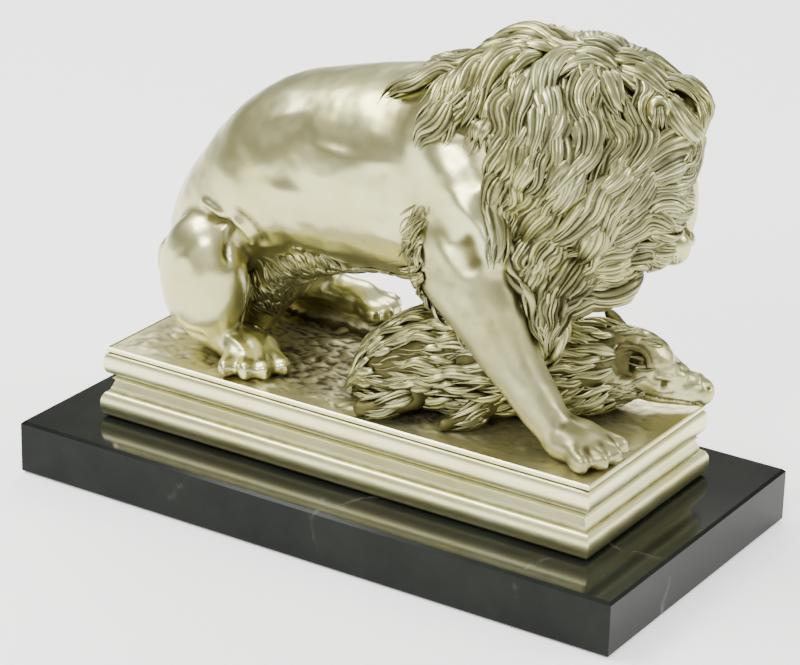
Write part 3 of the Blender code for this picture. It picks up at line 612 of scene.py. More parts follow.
def add_face(bm, ball):
    """The forms of the lion's face that stand out from its skull."""
    for place, half_sizes in FACE_MASSES:
        add_head_mass(bm, ball, place, half_sizes)
    for side in (-1, 1):
        for (x, y, z), half_sizes, tilt in FACE_PAIRS:
            add_head_mass(bm, ball, (side * x, y, z), half_sizes, side * tilt)


PAW_LENGTH = 14.0
PAW_HEIGHT = 9.0
TOES = 4
# Each paw is (place, heading, width).
PAWS = (
    ((102, -27, 7), math.radians(-10), 13.5),
    ((63, 34, 8), math.radians(4), 12.5),
    ((-60, -28, 7), math.radians(-50), 13.5),
    ((-50, 39, 12), math.radians(4), 9.5),
)


def paw_toes(centre, heading, width):
    """The place and the axes of each toe of a paw."""
    turn = Matrix.Rotation(heading, 3, "Z")
    for k in range(TOES):
        spread = (k - (TOES - 1) / 2) / ((TOES - 1) / 2)
        forward = PAW_LENGTH * (1.12 - 0.28 * spread * spread)
        toe = Vector(centre) + turn @ Vector((forward, spread * width * 0.88, -PAW_HEIGHT * 0.22))
        yield toe, turn @ Matrix.Rotation(0.3 * spread, 3, "Z")


def add_paw(bm, ball, centre, heading, width):
    """A paw lying on the ground: a low pad with a row of toes along its front."""
    add_mass(bm, ball, centre, (PAW_LENGTH, width, PAW_HEIGHT), Matrix.Rotation(heading, 3, "Z"))
    for toe, local in paw_toes(centre, heading, width):
        add_mass(bm, ball, toe, (7.2, 3.9, 5.4), local)


def add_toe_joints(bm, ball, centre, heading, width):
    """The knuckle and the tip of each toe of a paw; gives the cuts beside its nail."""
    cuts = []
    for toe, local in paw_toes(centre, heading, width):
        add_mass(bm, ball, toe + local @ Vector((-4.2, 0, 2.6)), (4.8, 2.9, 3.6), local)
        add_mass(bm, ball, toe + local @ Vector((3.0, 0, 0.4)), (4.2, 3.5, 4.4), local)
        add_mass(bm, ball, toe + local @ Vector((6.4, 0, -0.6)), (1.5, 1.5, 2.4), local)
        for side in (-1.7, 1.7):
            nail = [toe + local @ Vector(place) for place in ((6.0, side, 1.8), (7.2, side, -2.2))]
            cuts.append((-0.9, 1.0, nail))
    return cuts


def add_lion_core(bm, ball, ear=EAR_SIZE):
    """The lion without its hair."""
    legs = (NEAR_FORELEG, NEAR_ARM, CHEST_STRAND, FAR_FORELEG, NEAR_SHANK, FAR_SHANK)
    for stations in (TORSO, TAIL, *legs, GROIN):
        add_limb(bm, stations)
    for centre, half_sizes in (*HAUNCHES, *SHOULDERS, *MANE):
        add_mass(bm, ball, centre, half_sizes)
    add_head(bm, ball, ear)
    for paw in PAWS:
        add_paw(bm, ball, *paw)


def add_boar_core(bm):
    """The boar without its ears and bristles."""
    for stations in (BOAR_BODY, BOAR_HEAD):
        add_limb(bm, stations)


def add_boar_details(bm, ball):
    """The snout disc, the ears, the tusk and the trotters."""
    add_mass(bm, ball, SNOUT, SNOUT_SIZE, Matrix.Rotation(SNOUT_TURN, 3, "Z"))
    ear = Vector(BOAR_EAR)
    lobe = []
    for k in range(9):
        angle = math.radians(-20 + 35 * k)
        along = Vector((0.84, 0.54, 0)) * 7.0 * math.cos(angle)
        place = ear + along + Vector((-0.3, 0.1, 0.9)) * 6.0 * math.sin(angle)
        lobe.append((*place, *BOAR_EAR_RIM))
    add_limb(bm, lobe, sides=8)
    add_limb(bm, ((92, 27, 36, 2.5, 5), (88, 27, 40, 2.5, 4), (86, 25, 43, 1.5, 2)), sides=10)
    for leg in BOAR_LEGS:
        add_limb(bm, leg, sides=12)


def in_boar_coat(place):
    """The bristles cover the boar's back and its near side, up to its cheek."""
    start, end = BOAR_COAT_SPAN
    low, high = BOAR_COAT_LEVELS
    near_side = place.y < BOAR_COAT_SLANT * place.x + 2
    return start < place.x < end and low < place.z < high and near_side and mane_reach(place) > 1.1


def mane_reach(place):
    """How deep a place lies in the mane: under 1 inside it, over 1 outside."""
    return min(
        math.sqrt(sum(((place[k] - centre[k]) / half[k]) ** 2 for k in range(3)))
        for centre, half in MANE
    )


def face_place(place):
    """A place in the head's own axes."""
    return HEAD_TURN.transposed() @ (Vector(place) - Vector(HEAD_CENTRE))


def in_face(place, room=0.0):
    """Whether a place is on the bare face."""
    x, y, z = face_place(place)
    half = (FACE_NEAR if x > 0 else FACE_FAR) + (0 if y < 22 else 4) - room
    return z > 6 and abs(x) < half and FACE_TOP + room < y < FACE_FOOT


def by_ear(place):
    """Whether a place is on an ear, which the hair leaves free."""
    x, y, z = face_place(place)
    return math.hypot(abs(x) - EAR_PLACE[0], y - EAR_PLACE[1], z - EAR_PLACE[2]) < EAR_ROOM


def in_mane(place):
    """The mane covers the crest and the neck and leaves the shoulders bare."""
    on_crest = place.z > MANE_CREST and place.x > MANE_BACK
    side = MANE_SIDE - MANE_SLANT * max(0.0, MANE_SLANT_TOP - place.z)
    on_head = (place - Vector(HEAD_CENTRE)).length < HEAD_REACH
    on_neck = mane_reach(place) < 1.05 and place.z > MANE_FOOT
    return on_head or on_neck and (on_crest or place.x > side)


def mirrored(place, on_head):
    """The same place on the lion's other side."""
    if not on_head:
        return Vector((place[0], -place[1], place[2]))
    x, y, z = face_place(place)
    return head_spot(-x, y, z)


def guide_lines():
    """The courses of the chief locks on both sides, as smooth rows of places."""
    lines = []
    for guides, on_head in ((NECK_GUIDES, False), (HEAD_GUIDES, True)):
        for line in guides:
            near = [Vector(place) for place in line]
            lines.append(near)
            lines.append([mirrored(place, on_head) for place in near])
    lines += [[Vector(place) for place in line] for line in CROWN_GUIDES]
    return [smooth_line(line, 4) for line in lines]


def guide_field():
    """The middle and the way of each short stretch of the chief locks."""
    pairs = [pair for line in guide_lines() for pair in zip(line, line[1:])]
    middles = np.array([(a + b) / 2 for a, b in pairs])
    ways = np.array([(b - a).normalized() for a, b in pairs])
    return middles, ways


def share_of(value, span):
    """How far a value has come from the start of a span to its end, from 0 to 1."""
    start, end = span
    return min(1.0, max(0.0, (value - start) / (end - start)))


def mane_way(place, normal):
    """The way the hair lies: away from the face beside it, back on the crest, down on the neck."""
    x, y, z = face_place(place)
    away = HEAD_TURN @ Vector((x * 1.4, (y - 8) * 0.45, 0))
    distance = math.hypot(x * 1.4, y - 8)
    away.normalize()
    low = 1.0 - share_of(place[2], MANE_LOW_SPAN)
    hang = Vector(MANE_TOP_WAY).lerp(Vector(MANE_LOW_WAY), low)
    share = share_of(distance, FACE_FLOW_SPAN)
    way = (away * (1 - share) + hang * share) * GUIDE_FREEDOM
    gaps = ((GUIDE_MIDDLES - np.array(place)) ** 2).sum(axis=1)
    pull = np.exp(-gaps / GUIDE_REACH ** 2) @ GUIDE_WAYS
    way += Vector(pull)
    way -= normal * way.dot(normal)
    return way.normalized()


GUIDE_MIDDLES, GUIDE_WAYS = guide_field()


def bristle_way(place, normal):
    """The boar's bristles lie back from its head and fan out at its rump."""
    way = Vector((-0.92, -0.38, -0.12 - 0.01 * max(0.0, BRISTLE_FAN - place[0])))
    way -= normal * way.dot(normal)
    return way.normalized()


def skin_point(tree, place):
    """The nearest place on the skin and the skin's normal there."""
    found, normal, _, _ = tree.find_nearest(Vector(place))
    return found, normal


def lock_course(tree, root, way_at, length, rng, wave=1.0):
    """Places along one wavy lock that lies on the skin, with the skin's normals."""
    place, normal = skin_point(tree, root)
    phase = rng.uniform(0, 2 * math.pi)
    pitch = rng.uniform(*LOCK_PITCH)
    sway = rng.uniform(*LOCK_SWAY) * wave
    steps = max(4, round(length / LOCK_STEP))
    course = []
    for step in range(steps + 1):
        way = way_at(place, normal)
        aside = normal.cross(way)
        swing = sway * math.sin(phase + 2 * math.pi * step * LOCK_STEP / pitch)
        course.append((place + aside * swing, normal, way))
        place, normal = skin_point(tree, place + way * LOCK_STEP)
    return course


def near_foreleg(place):
    """Whether a place is on the near foreleg."""
    return any((place - Vector((x, y, z))).length < reach * 1.25 for x, y, z, _, reach in NEAR_FORELEG)


def on_forearm(place):
    """Whether a place is on the near foreleg below the elbow."""
    return place.z < FOREARM_TOP and near_foreleg(place)


def before(course, barred, least=0):
    """The part of a course before its first barred place."""
    stop = next((i for i, step in enumerate(course) if barred(step[0])), len(course))
    return course[:max(least, stop)]


def barred_by_face(place):
    """Whether the hair stops there for the bare face or an ear."""
    return in_face(place, FACE_ROOM) or by_ear(place)


def on_shoulder(place):
    """Whether a place is on the shoulder, which the locks of the crest leave bare below a ragged edge."""
    top = SHOULDER_TOP + SHOULDER_RAGGED * math.sin(0.55 * place.x)
    return SHOULDER_FOOT < place.z < top and place.x < SHOULDER_FRONT and abs(place.y) > SHOULDER_SIDE


def unbroken(course):
    """The part of a course before it jumps from one limb to another."""
    gaps = [(b[0] - a[0]).length for a, b in zip(course, course[1:])]
    stop = next((i + 1 for i, gap in enumerate(gaps) if gap > 2.2 * LOCK_STEP), len(course))
    return course[:max(SHORTEST, stop)]


def drawn_course(tree, line):
    """A course on the skin through the places of a line, one every lock step."""
    course = []
    left = 0.0
    for start, end in zip(line, line[1:]):
        gap = (end - start).length
        way = (end - start).normalized()
        while left < gap:
            place, normal = skin_point(tree, start + way * left)
            course.append((place, normal, way))
            left += LOCK_STEP
        left -= gap
    return course


def fur_course(tree, root, way, length, rng, spread=FUR_TURN):
    """A short curly lock that lies on the skin about one way."""
    turn = Matrix.Rotation(rng.uniform(-spread, spread), 3, skin_point(tree, root)[1])
    heading = turn @ way

    def lie(_, normal):
        flat = heading - normal * heading.dot(normal)
        return flat.normalized()

    return lock_course(tree, root, lie, length, rng, wave=0.6)


def scatter(places, wanted, spacing, rng):
    """Some of the places, none of them nearer to another than the spacing."""
    chosen = []
    rng.shuffle(places)
    for place in places:
        if all((place - other).length > spacing for other in chosen):
            chosen.append(place)
        if len(chosen) == wanted:
            break
    return chosen


def unit_rows(rows):
    """Each row as a unit vector."""
    return rows / np.maximum(np.linalg.norm(rows, axis=1, keepdims=True), 1e-9)


def smooth_step(low, high, value):
    """0 below low, 1 above high, and a soft step between them."""
    t = np.clip((value - low) / (high - low), 0.0, 1.0)
    return t * t * (3 - 2 * t)


def nearness(places, middle, reach):
    """1 at the middle and less with distance; the reach is a squared length."""
    return np.exp(-((places - np.array(middle)) ** 2).sum(axis=1) / reach)


# Painted shadow: the hair is darkened in the deep fold between the beard and the chest, where shade falls.
THROAT = ((97, -19, 90), (94, -21, 82), (92, -22, 74), (90, -22, 66), (88, -21, 58))
THROAT_REACH = 6.5
THROAT_PAINTED_SHADE = 0.40


class Strands:
    """Tubes of hair gathered into one mesh, each vertex with its share of dark patina and painted shade."""

    def __init__(self, rings_per_step):
        self.rings_per_step = rings_per_step
        self.verts = []
        self.faces = []
        self.patina_and_shade = []
        self.count = 0

    def add(self, rings, shade):
        """A closed tube through rings of places, with the patina and painted shade of each place."""
        count, sides, _ = rings.shape
        self.verts.append(rings.reshape(-1, 3))
        self.patina_and_shade.append(np.clip(shade, 0, 1).reshape(-1))
        first = self.count + np.arange(count - 1)[:, None] * sides
        low = first + np.arange(sides)
        after = first + (np.arange(sides) + 1) % sides
        quads = np.stack([low, after, after + sides, low + sides], axis=2)
        self.faces.extend(quads.reshape(-1, 4).tolist())
        last = self.count + (count - 1) * sides
        self.faces.append(list(range(self.count + sides - 1, self.count - 1, -1)))
        self.faces.append(list(range(last, last + sides)))
        self.count += count * sides

    def build(self, name):
        """The piece, moved to its place on the base."""
        mesh = bpy.data.meshes.new(name)
        places = np.vstack(self.verts)
        mesh.from_pydata(places, [], self.faces)
        # Painted shadow along the fold under the beard, added on top of the patina.
        shadow = sum(nearness(places, place, THROAT_REACH ** 2) for place in THROAT)
        set_patina_and_shade(mesh, np.clip(np.concatenate(self.patina_and_shade) + THROAT_PAINTED_SHADE * shadow, 0, 1))
        return finish_piece(name, mesh)


def course_frame(course, count):
    """The places along a course, its normals, and the axes across it and out of it."""
    rows = np.array([[*step[0], *step[1]] for step in course])
    for _ in range(2):
        rows[1:-1] = (rows[:-2] + 2 * rows[1:-1] + rows[2:]) / 4
    rows = refine(rows, count)
    places = rows[:, :3]
    normals = unit_rows(rows[:, 3:])
    along = unit_rows(np.gradient(places, axis=0))
    across = unit_rows(np.cross(normals, along))
    return places, normals, across, np.cross(along, across)


def ring_places(centres, across, up, angles, reach):
    """Rings of places about the centres; across and up are the half axes."""
    side = (reach * np.cos(angles))[..., None]
    rise = (reach * np.sin(angles))[..., None]
    return centres[:, None] + across[:, None] * side + up[:, None] * rise


def add_tress(strands, centres, across, up, ridges, shade, rng):
    """A tress with rounded ridges along its back and dark grooves between them."""
    count = len(centres)
    t = np.linspace(0, 1, count)
    if ridges > 3:
        ridges += rng.choice((-1, 0, 0, 1))
    widths = [rng.uniform(0.45, 1.75) for _ in range(ridges)]
    edges = np.concatenate([[0.0], np.cumsum(widths)]) / sum(widths) * 2 - 1
    edges = np.repeat(edges[None], count, axis=0)
    for k in range(1, ridges):
        wander = rng.uniform(0.15, 0.45) / ridges
        edges[:, k] += wander * np.sin(t * rng.uniform(5, 11) + rng.uniform(0, 6.3))
    angles, reach, patina_and_shade = [], [], []
    for k in range(ridges + 1):
        angles.append(edges[:, k])
        rim = 1.0 if k in (0, ridges) else 0.50
        reach.append(np.full(count, GROOVE))
        patina_and_shade.append(np.full(count, shade + rim))
        if k < ridges:
            gap = edges[:, k + 1] - edges[:, k]
            crown = rng.uniform(0.97, 1.09) + 0.05 * np.sin(t * rng.uniform(4, 9) + rng.uniform(0, 6.3))
            seat = abs(2 * k + 1 - ridges) / ridges
            tone = shade + 0.36 * seat ** 2 + rng.uniform(-0.08, 0.14)
            for share in RIDGE_SHOULDERS:
                angles.append(edges[:, k] + share * gap)
                reach.append(crown)
                patina_and_shade.append(np.full(count, tone))
    for low in TRESS_BACK:
        angles.append(np.full(count, low / RIDGE_ARC))
        reach.append(np.ones(count))
        patina_and_shade.append(np.full(count, 0.9))
    angles = math.pi / 2 + RIDGE_ARC * np.stack(angles, axis=1)
    strands.add(ring_places(centres, across, up, angles, np.stack(reach, axis=1)), np.stack(patina_and_shade, axis=1))


def set_patina_and_shade(mesh, values):
    attribute = mesh.attributes.new("patina_and_shade", "FLOAT", "POINT")
    attribute.data.foreach_set("value", np.asarray(values, dtype=np.float32))


def finish_piece(name, mesh):
    """An object of the frame from a mesh in table units."""
    mesh.transform(TO_FRAME)
    mesh.shade_smooth()
    mesh.update()
    return add_object(name, mesh)


def add_lock(strands, course, width, thickness, lift, rng, tresses=MANE_TRESSES, splay=0.35, depth=0.0):
    """A lock of hair: a few grooved tresses side by side that part at the tip."""
    count = max(7, round(len(course) * strands.rings_per_step))
    places, normals, across, up = course_frame(course, count)
    t = np.linspace(0, 1, count)
    size = width * (0.45 + 0.55 * np.minimum(1, t / 0.25)) * np.maximum(0.12, 1 - t ** 3) ** 0.8
    rise = lift * (0.2 + 0.8 * np.sin(math.pi * np.minimum(1, t * 0.85)))
    centres = places + normals * rise[:, None]
    for seat, girth, level, ridges in tresses:
        sway = rng.uniform(0.03, 0.14) * size * np.sin(t * rng.uniform(3, 7) + rng.uniform(0, 6.3))
        side = size * seat + sway + splay * width * seat * smooth_step(0.5, 1.0, t)
        height = size * thickness * (level + rng.uniform(-0.06, 0.08))
        end = max(6, round(count * rng.uniform(0.84, 1.0)))
        taper = np.maximum(0.08, 1 - (np.arange(end) / (end - 1)) ** 4) ** 0.7
        line = centres + across * side[:, None] + up * height[:, None]
        roll = 0.5 * seat
        flat = across * math.cos(roll) - up * math.sin(roll)
        out = up * math.cos(roll) + across * math.sin(roll)
        half = (size[:end] * taper)[:, None]
        deep = thickness * (1.0 - level)
        tone = depth + rng.uniform(-0.08, 0.26)
        add_tress(strands, line[:end], flat[:end] * half * girth, out[:end] * half * deep, ridges, tone, rng)


def add_shingled(strands, course, width, thickness, lift, rng):
    """A long course as shorter locks, each of them starting on top of the one before."""
    start = 0
    while len(course) - start > SHINGLE_LEAST:
        length = rng.randint(*SHINGLE_STEPS)
        if len(course) - start - length < SHINGLE_TAIL:
            length = len(course) - start
        add_lock(strands, course[start:start + length], width, thickness, lift, rng)
        start += round(length * SHINGLE_LAP)


def add_hairline(strands, course, radius, lift, shade):
    """One thin strand along a course."""
    count = len(course)
    places, normals, across, up = course_frame(course, count)
    t = np.linspace(0, 1, count)
    size = radius * np.minimum(1, 0.4 + t / 0.2) * np.maximum(0.1, 1 - t ** 4)
    centres = places + normals * (lift * (0.3 + 0.7 * np.sin(math.pi * np.minimum(1, t * 0.9))))[:, None]
    turns = np.linspace(0, 2 * math.pi, HAIR_SIDES, endpoint=False)
    angles = np.repeat(turns[None], count, axis=0)
    rings = ring_places(centres, across * size[:, None], up * size[:, None], angles, np.ones(angles.shape))
    strands.add(rings, np.full(angles.shape, shade))


def fuse(bm, voxel, rounds):
    """Melts overlapping shells into one skin and softens the joins. In table units."""
    obj = add_object("fuse", mesh_of("fuse", bm))
    remesh = obj.modifiers.new("Fuse", "REMESH")
    remesh.mode = "VOXEL"
    remesh.voxel_size = voxel
    soften = obj.modifiers.new("Soften", "SMOOTH")
    soften.factor = 0.5
    soften.iterations = rounds
    bpy.context.view_layer.update()
    fused = bpy.data.meshes.new_from_object(obj.evaluated_get(bpy.context.evaluated_depsgraph_get()))
    bpy.data.objects.remove(obj)
    return fused


def in_trunk(place):
    """The smooth trunk, between the haunches' folds and the mane."""
    return TRUNK_BACK < place.x < TRUNK_FRONT and place.z > TRUNK_FOOT


def on_bare_trunk(place):
    """Whether fur would stray over the smooth trunk behind and above the elbow."""
    return in_trunk(place) and (place.x < FUR_BACK or place.z > FUR_CEILING)


def soften(mesh, rounds, within=lambda place: True):
    """Smooths a skin, or only the part of it that lies within a region."""
    bm = bm_of(mesh)
    verts = [vert for vert in bm.verts if within(vert.co)]
    for _ in range(rounds):
        bmesh.ops.smooth_vert(bm, verts=verts, factor=0.5, use_axis_x=True, use_axis_y=True, use_axis_z=True)
    bm.to_mesh(mesh)
    bm.free()
    return mesh


def skin_arrays(mesh):
    """The places and the normals of a mesh's vertices."""
    count = len(mesh.vertices)
    places = np.empty(count * 3)
    normals = np.empty(count * 3)
    mesh.vertices.foreach_get("co", places)
    mesh.vertex_normals.foreach_get("vector", normals)
    return places.reshape(-1, 3), normals.reshape(-1, 3)


def tree_of(mesh):
    bm = bm_of(mesh)
    tree = BVHTree.FromBMesh(bm)
    bm.free()
    return tree


def carve(mesh, strokes):
    """Raises or sinks the skin along strokes, each (height, reach, places)."""
    tree = tree_of(mesh)
    places, normals = skin_arrays(mesh)
    shift = np.zeros(len(places))
    for height, reach, line in strokes:
        seats = np.array([skin_point(tree, place)[0] for place in line])
        path = refine(seats, 24 * len(seats)) if len(seats) > 1 else seats
        low = path.min(axis=0) - 2.2 * reach
        high = path.max(axis=0) + 2.2 * reach
        index = np.nonzero(np.all((places > low) & (places < high), axis=1))[0]
        if not len(index):
            continue
        gap = np.linalg.norm(places[index, None] - path[None], axis=2)
        t = gap.argmin(axis=1) / max(1, len(path) - 1)
        fade = smooth_step(0, 0.22, t) * smooth_step(0, 0.22, 1 - t) if len(line) > 1 else 1.0
        shift[index] += height * fade * np.exp(-((gap.min(axis=1) / reach) ** 2) * 1.4)
    return move_skin(mesh, places + normals * shift[:, None])


def move_skin(mesh, places):
    mesh.vertices.foreach_set("co", places.reshape(-1))
    mesh.update()
    return mesh


def roughen(mesh, height, scale):
    """The slight waviness of a surface modelled by hand in wax."""
    places, normals = skin_arrays(mesh)
    shift = np.array([noise.noise(Vector(p) / scale) for p in places]) * height
    return move_skin(mesh, places + normals * shift[:, None])


def hollowness(mesh, rounds, full):
    """How far each vertex lies below its surroundings, as a share of a full hollow."""
    places, normals = skin_arrays(mesh)
    edges = np.empty(len(mesh.edges) * 2, dtype=np.int64)
    mesh.edges.foreach_get("vertices", edges)
    first, second = edges.reshape(-1, 2).T
    total = np.bincount(np.concatenate([first, second]), minlength=len(places))
    around = places.copy()
    for _ in range(rounds):
        mixed = np.empty_like(around)
        for axis in range(3):
            column = around[:, axis]
            weights = np.concatenate([column[second], column[first]])
            mixed[:, axis] = np.bincount(np.concatenate([first, second]), weights, minlength=len(places))
        around = 0.5 * around + 0.5 * mixed / np.maximum(total, 1)[:, None]
    return np.clip(((around - places) * normals).sum(axis=1) / full, -1, 1)


def skin_patina_and_shade(mesh, rounds=14, full=0.30, extra=None):
    """Dark patina in the hollows, bright on the ridges; any extra darkening that is given is added, and in
    places that is painted shade.
    """
    value = 0.08 + 0.9 * np.clip(hollowness(mesh, rounds, full) - 0.08, -0.1, 1)
    if extra is not None:
        value = value + extra
    set_patina_and_shade(mesh, np.clip(value, 0, 1))


# The cuts of the face are (height, reach, places) in the head's own axes. On both sides: lids and the folds
# beside them, bridge, nostril, mouth, brow and cheek. Then in the middle: nose and forehead.
UPPER_LID = ((4.6, 12.5, 15), (7.5, 9.2, 17), (11.5, 9.0, 16), (14.0, 11.5, 13))
LOWER_LID = ((4.6, 13.0, 15), (8.5, 14.6, 16), (12.0, 14.0, 14), (14.0, 12.0, 13))
SIDE_CUTS = (
    (0.7, 0.9, UPPER_LID),
    (0.55, 0.8, LOWER_LID),
    (-0.9, 1.0, tuple((x, y - 1.9, z) for x, y, z in UPPER_LID)),
    (-0.7, 1.2, tuple((x, y + 1.8, z) for x, y, z in LOWER_LID)),
    (-1.4, 1.5, ((3.4, 14, 17), (4.0, 20, 17), (5.5, 27, 15))),
    (-1.6, 1.3, ((3.0, 42.4, 15), (4.6, 41.6, 15), (5.6, 40.0, 15))),
    (-1.5, 0.9, ((0, 46.5, 10), (3.5, 46.5, 8), (7.5, 43.5, 5), (11, 38, 2))),
    (0.8, 1.2, ((2.0, -2, 20), (5.0, 2, 20), (10, 3.4, 19), (15, 6, 15))),
    (-0.9, 1.2, ((8.5, 18, 15), (10, 25, 12), (12, 31, 8))),
)
MIDDLE_CUTS = (
    (-1.0, 0.8, ((0, 41, 16), (0, 44, 14), (0, 46.5, 10))),
    (-0.8, 1.4, ((0, -14, 22), (0, -4, 20), (0, 4, 20))),
)


def whisker_pits():
    """Three rows of small pits beside the nose, as cuts."""
    pits = [(row, pit) for row in range(3) for pit in range(4)]
    return tuple(
        (-0.6, 0.55, ((4.6 + 2.1 * pit, 40.5 + 2.0 * row - 0.5 * pit, 14 - 1.2 * pit),)) for row, pit in pits
    )


def head_strokes():
    """All cuts of the face in world places."""
    cuts = []
    for side in (-1, 1):
        for height, reach, line in SIDE_CUTS + whisker_pits():
            cuts.append((height, reach, [(side * x, y, z) for x, y, z in line]))
    cuts += MIDDLE_CUTS
    return [(height, reach, [head_spot(*place) for place in line]) for height, reach, line in cuts]


def build_head(ball):
    """The face and the ears, finer than the body that they stand on."""
    bm = bmesh.new()
    add_head(bm, ball, CUPPED_EAR)
    add_face(bm, ball)
    mesh = fuse(bm, HEAD_VOXEL, HEAD_SOFTEN)
    carve(mesh, head_strokes())
    x, y, z = EAR_PLACE
    cups = [head_spot(side * (x + 4), y - 1.5, z + 0.5) for side in (-1, 1)]
    carve(mesh, [(-2.3, 2.6, [cup]) for cup in cups])
    places, _ = skin_arrays(mesh)
    shade = sum(nearness(places, cup, 9.0) for cup in cups)
    shade += 0.40 * nearness(places, head_spot(0, 44, 10), 110.0)
    # The skin under the hair is darkened: dark patina and painted shade beneath the locks; the bare face and
    # the ears are left bright.
    bare = np.array([0.0 if in_face(Vector(p), -2.0) or by_ear(Vector(p)) else 0.8 for p in places])
    skin_patina_and_shade(mesh, 16, 0.22, 1.2 * shade + bare)
    return finish_piece("lion_head", mesh)


def build_body(ball):
    """The lion's smooth skin, with its folds, tendons and toes."""
    bm = bmesh.new()
    add_lion_core(bm, ball, EAR_STUB)
    nails = []
    for paw in PAWS:
        nails += add_toe_joints(bm, ball, *paw)
    mesh = soften(fuse(bm, FINE_VOXEL, FINE_SOFTEN), FINE_TRUNK_ROUNDS, in_trunk)
    carve(mesh, both_sides(SIDE_STROKES) + ARM_STROKES)
    soften(mesh, 4)
    carve(mesh, both_sides(THIGH_STROKES) + SHANK_STROKES + tuple(nails))
    soften(mesh, 1)
    roughen(mesh, 0.5, 13.0)
    roughen(mesh, 0.12, 5.0)
    places, _ = skin_arrays(mesh)
    # The skin under the mane is darkened: dark patina and painted shade beneath the locks.
    under_mane_patina_and_shade = np.array([1.0 if in_mane(Vector(p)) and not in_face(p) else 0.0 for p in places])
    # Painted shade: the near forearm is darkened to stand in for the dim olive reflections on it.
    forearm_painted_shade = smooth_step(100, 75, places[:, 2]) * smooth_step(30, 45, places[:, 0])
    forearm_painted_shade *= smooth_step(-5, -20, places[:, 1])
    skin_patina_and_shade(mesh, 18, 0.7, under_mane_patina_and_shade + 0.42 * forearm_painted_shade)
    return finish_piece("lion_body", mesh)


def boar_strokes():
    """The boar's eye, mouth, nostrils and the wrinkles of its snout."""
    return (
        (-4.5, 3.2, (BOAR_EAR, (108, 16, 28))),
        (-1.5, 1.5, ((114, 24, 18), (116, 26, 17))),
        (1.2, 1.2, ((111, 22, 22), (114, 24, 21), (118, 28, 19))),
        (0.8, 1.0, ((112, 22, 15), (115, 25, 14), (118, 28, 14))),
        (-1.5, 1.0, ((127, 41, 4), (121, 33, 6), (114, 25, 8), (107, 18, 10))),
        (0.8, 1.3, ((125, 38, 7), (118, 30, 10), (111, 23, 13))),
        (-0.6, 1.0, ((116, 32, 22), (118, 35, 20), (119, 38, 19))),
        (-0.6, 1.0, ((113, 30, 25), (115, 33, 23), (116, 36, 22))),
        (-0.7, 1.8, ((117.5, 33, 14), (119, 37.5, 17.5), (116, 42, 16))),
        (0.9, 1.9, ((122.5, 38, 13), (123.5, 41, 17), (121, 46, 16))),
        (-1.6, 1.1, ((127, 42, 12),)),
        (-1.6, 1.1, ((124.5, 46, 12),)),
    )


def build_boar(ball):
    """The boar's skin below its bristles."""
    bm = bmesh.new()
    add_boar_core(bm)
    add_boar_details(bm, ball)
    mesh = fuse(bm, BOAR_VOXEL, BOAR_SOFTEN)
    carve(mesh, boar_strokes())
    roughen(mesh, 0.30, 5.0)
    roughen(mesh, 0.22, 2.0)
    places, _ = skin_arrays(mesh)
    # The skin under the bristles is darkened: dark patina and painted shade beneath them; the ear's hollow
    # gets dark patina.
    under_bristle_patina_and_shade = 0.8 * smooth_step(104, 88, places[:, 0])
    hole = 1.3 * nearness(places, BOAR_EAR, 40.0)
    skin_patina_and_shade(mesh, 16, 0.50, 0.30 + under_bristle_patina_and_shade + hole)
    return finish_piece("boar_body", mesh)


def build_ground():
    """Rough soil with low stones, inside the rim of the base."""
    half_x = (BASE_LENGTH / 2 - RIM_WIDTH) / UNIT
    half_y = (BASE_WIDTH / 2 - RIM_WIDTH) / UNIT
    bm = bmesh.new()
    bmesh.ops.create_grid(bm, x_segments=GROUND_PARTS[0], y_segments=GROUND_PARTS[1], size=1.0)
    for vert in bm.verts:
        x = vert.co.x * half_x
        y = vert.co.y * half_y
        edge = min(half_x - abs(x), half_y - abs(y))
        inner = smooth_step(0.0, 9.0, edge)
        z = SOIL_LEVEL
        for centre, half in ROCKS:
            reach = ((x - centre[0]) / half[0]) ** 2 + ((y - centre[1]) / half[1]) ** 2
            if reach < 1:
                z = max(z, centre[2] + half[2] * math.sqrt(1 - reach))
        rough = noise.fractal(Vector((x, y, 3.0)) / 9.0, 0.9, 2.1, 4)
        crags = abs(noise.noise(Vector((x * 0.6 + y * 0.3, y * 0.9, 7.0)) / 4.0))
        z += inner * (0.9 * rough + 1.3 * crags) * (1 - 0.6 * smooth_step(20, 70, x))
        vert.co = Vector((x, y, max(z, SOIL_LOWEST)))
    bmesh.ops.recalc_face_normals(bm, faces=bm.faces)
    mesh = mesh_of("ground", bm)
    places, _ = skin_arrays(mesh)
    edge = np.minimum(half_x - abs(places[:, 0]), half_y - abs(places[:, 1]))
    shade = 0.34 * smooth_step(3.0, 20.0, edge) * smooth_step(-100, -50, places[:, 0])
    shade *= 1 - 0.6 * smooth_step(20, 70, places[:, 0])
    skin_patina_and_shade(mesh, 10, 0.6, shade)
    return finish_piece("ground", mesh)


def add_whiskers(sides, tree, rng):
    """The short locks that cover the cheeks and the sides of the muzzle."""
    for strands, way in zip(sides, (1, -1)):
        for row in range(WHISKER_ROWS):
            y = WHISKER_SPAN[0] + (WHISKER_SPAN[1] - WHISKER_SPAN[0]) * row / (WHISKER_ROWS - 1)
            for x in WHISKER_SIDE + WHISKER_NEAR * (way > 0 and y > 28):
                root = head_spot(way * (x + rng.uniform(-1, 1)), y + rng.uniform(-1, 1), 9)
                course = lock_course(tree, root, mane_way, rng.uniform(*WHISKER_LENGTH), rng, wave=0.6)
                lift = rng.uniform(*WHISKER_LIFT) + WHISKER_NEAR_LIFT * (x < WHISKER_SIDE[0])
                add_lock(strands, course, rng.uniform(*WHISKER_WIDTH), 0.7, lift, rng)


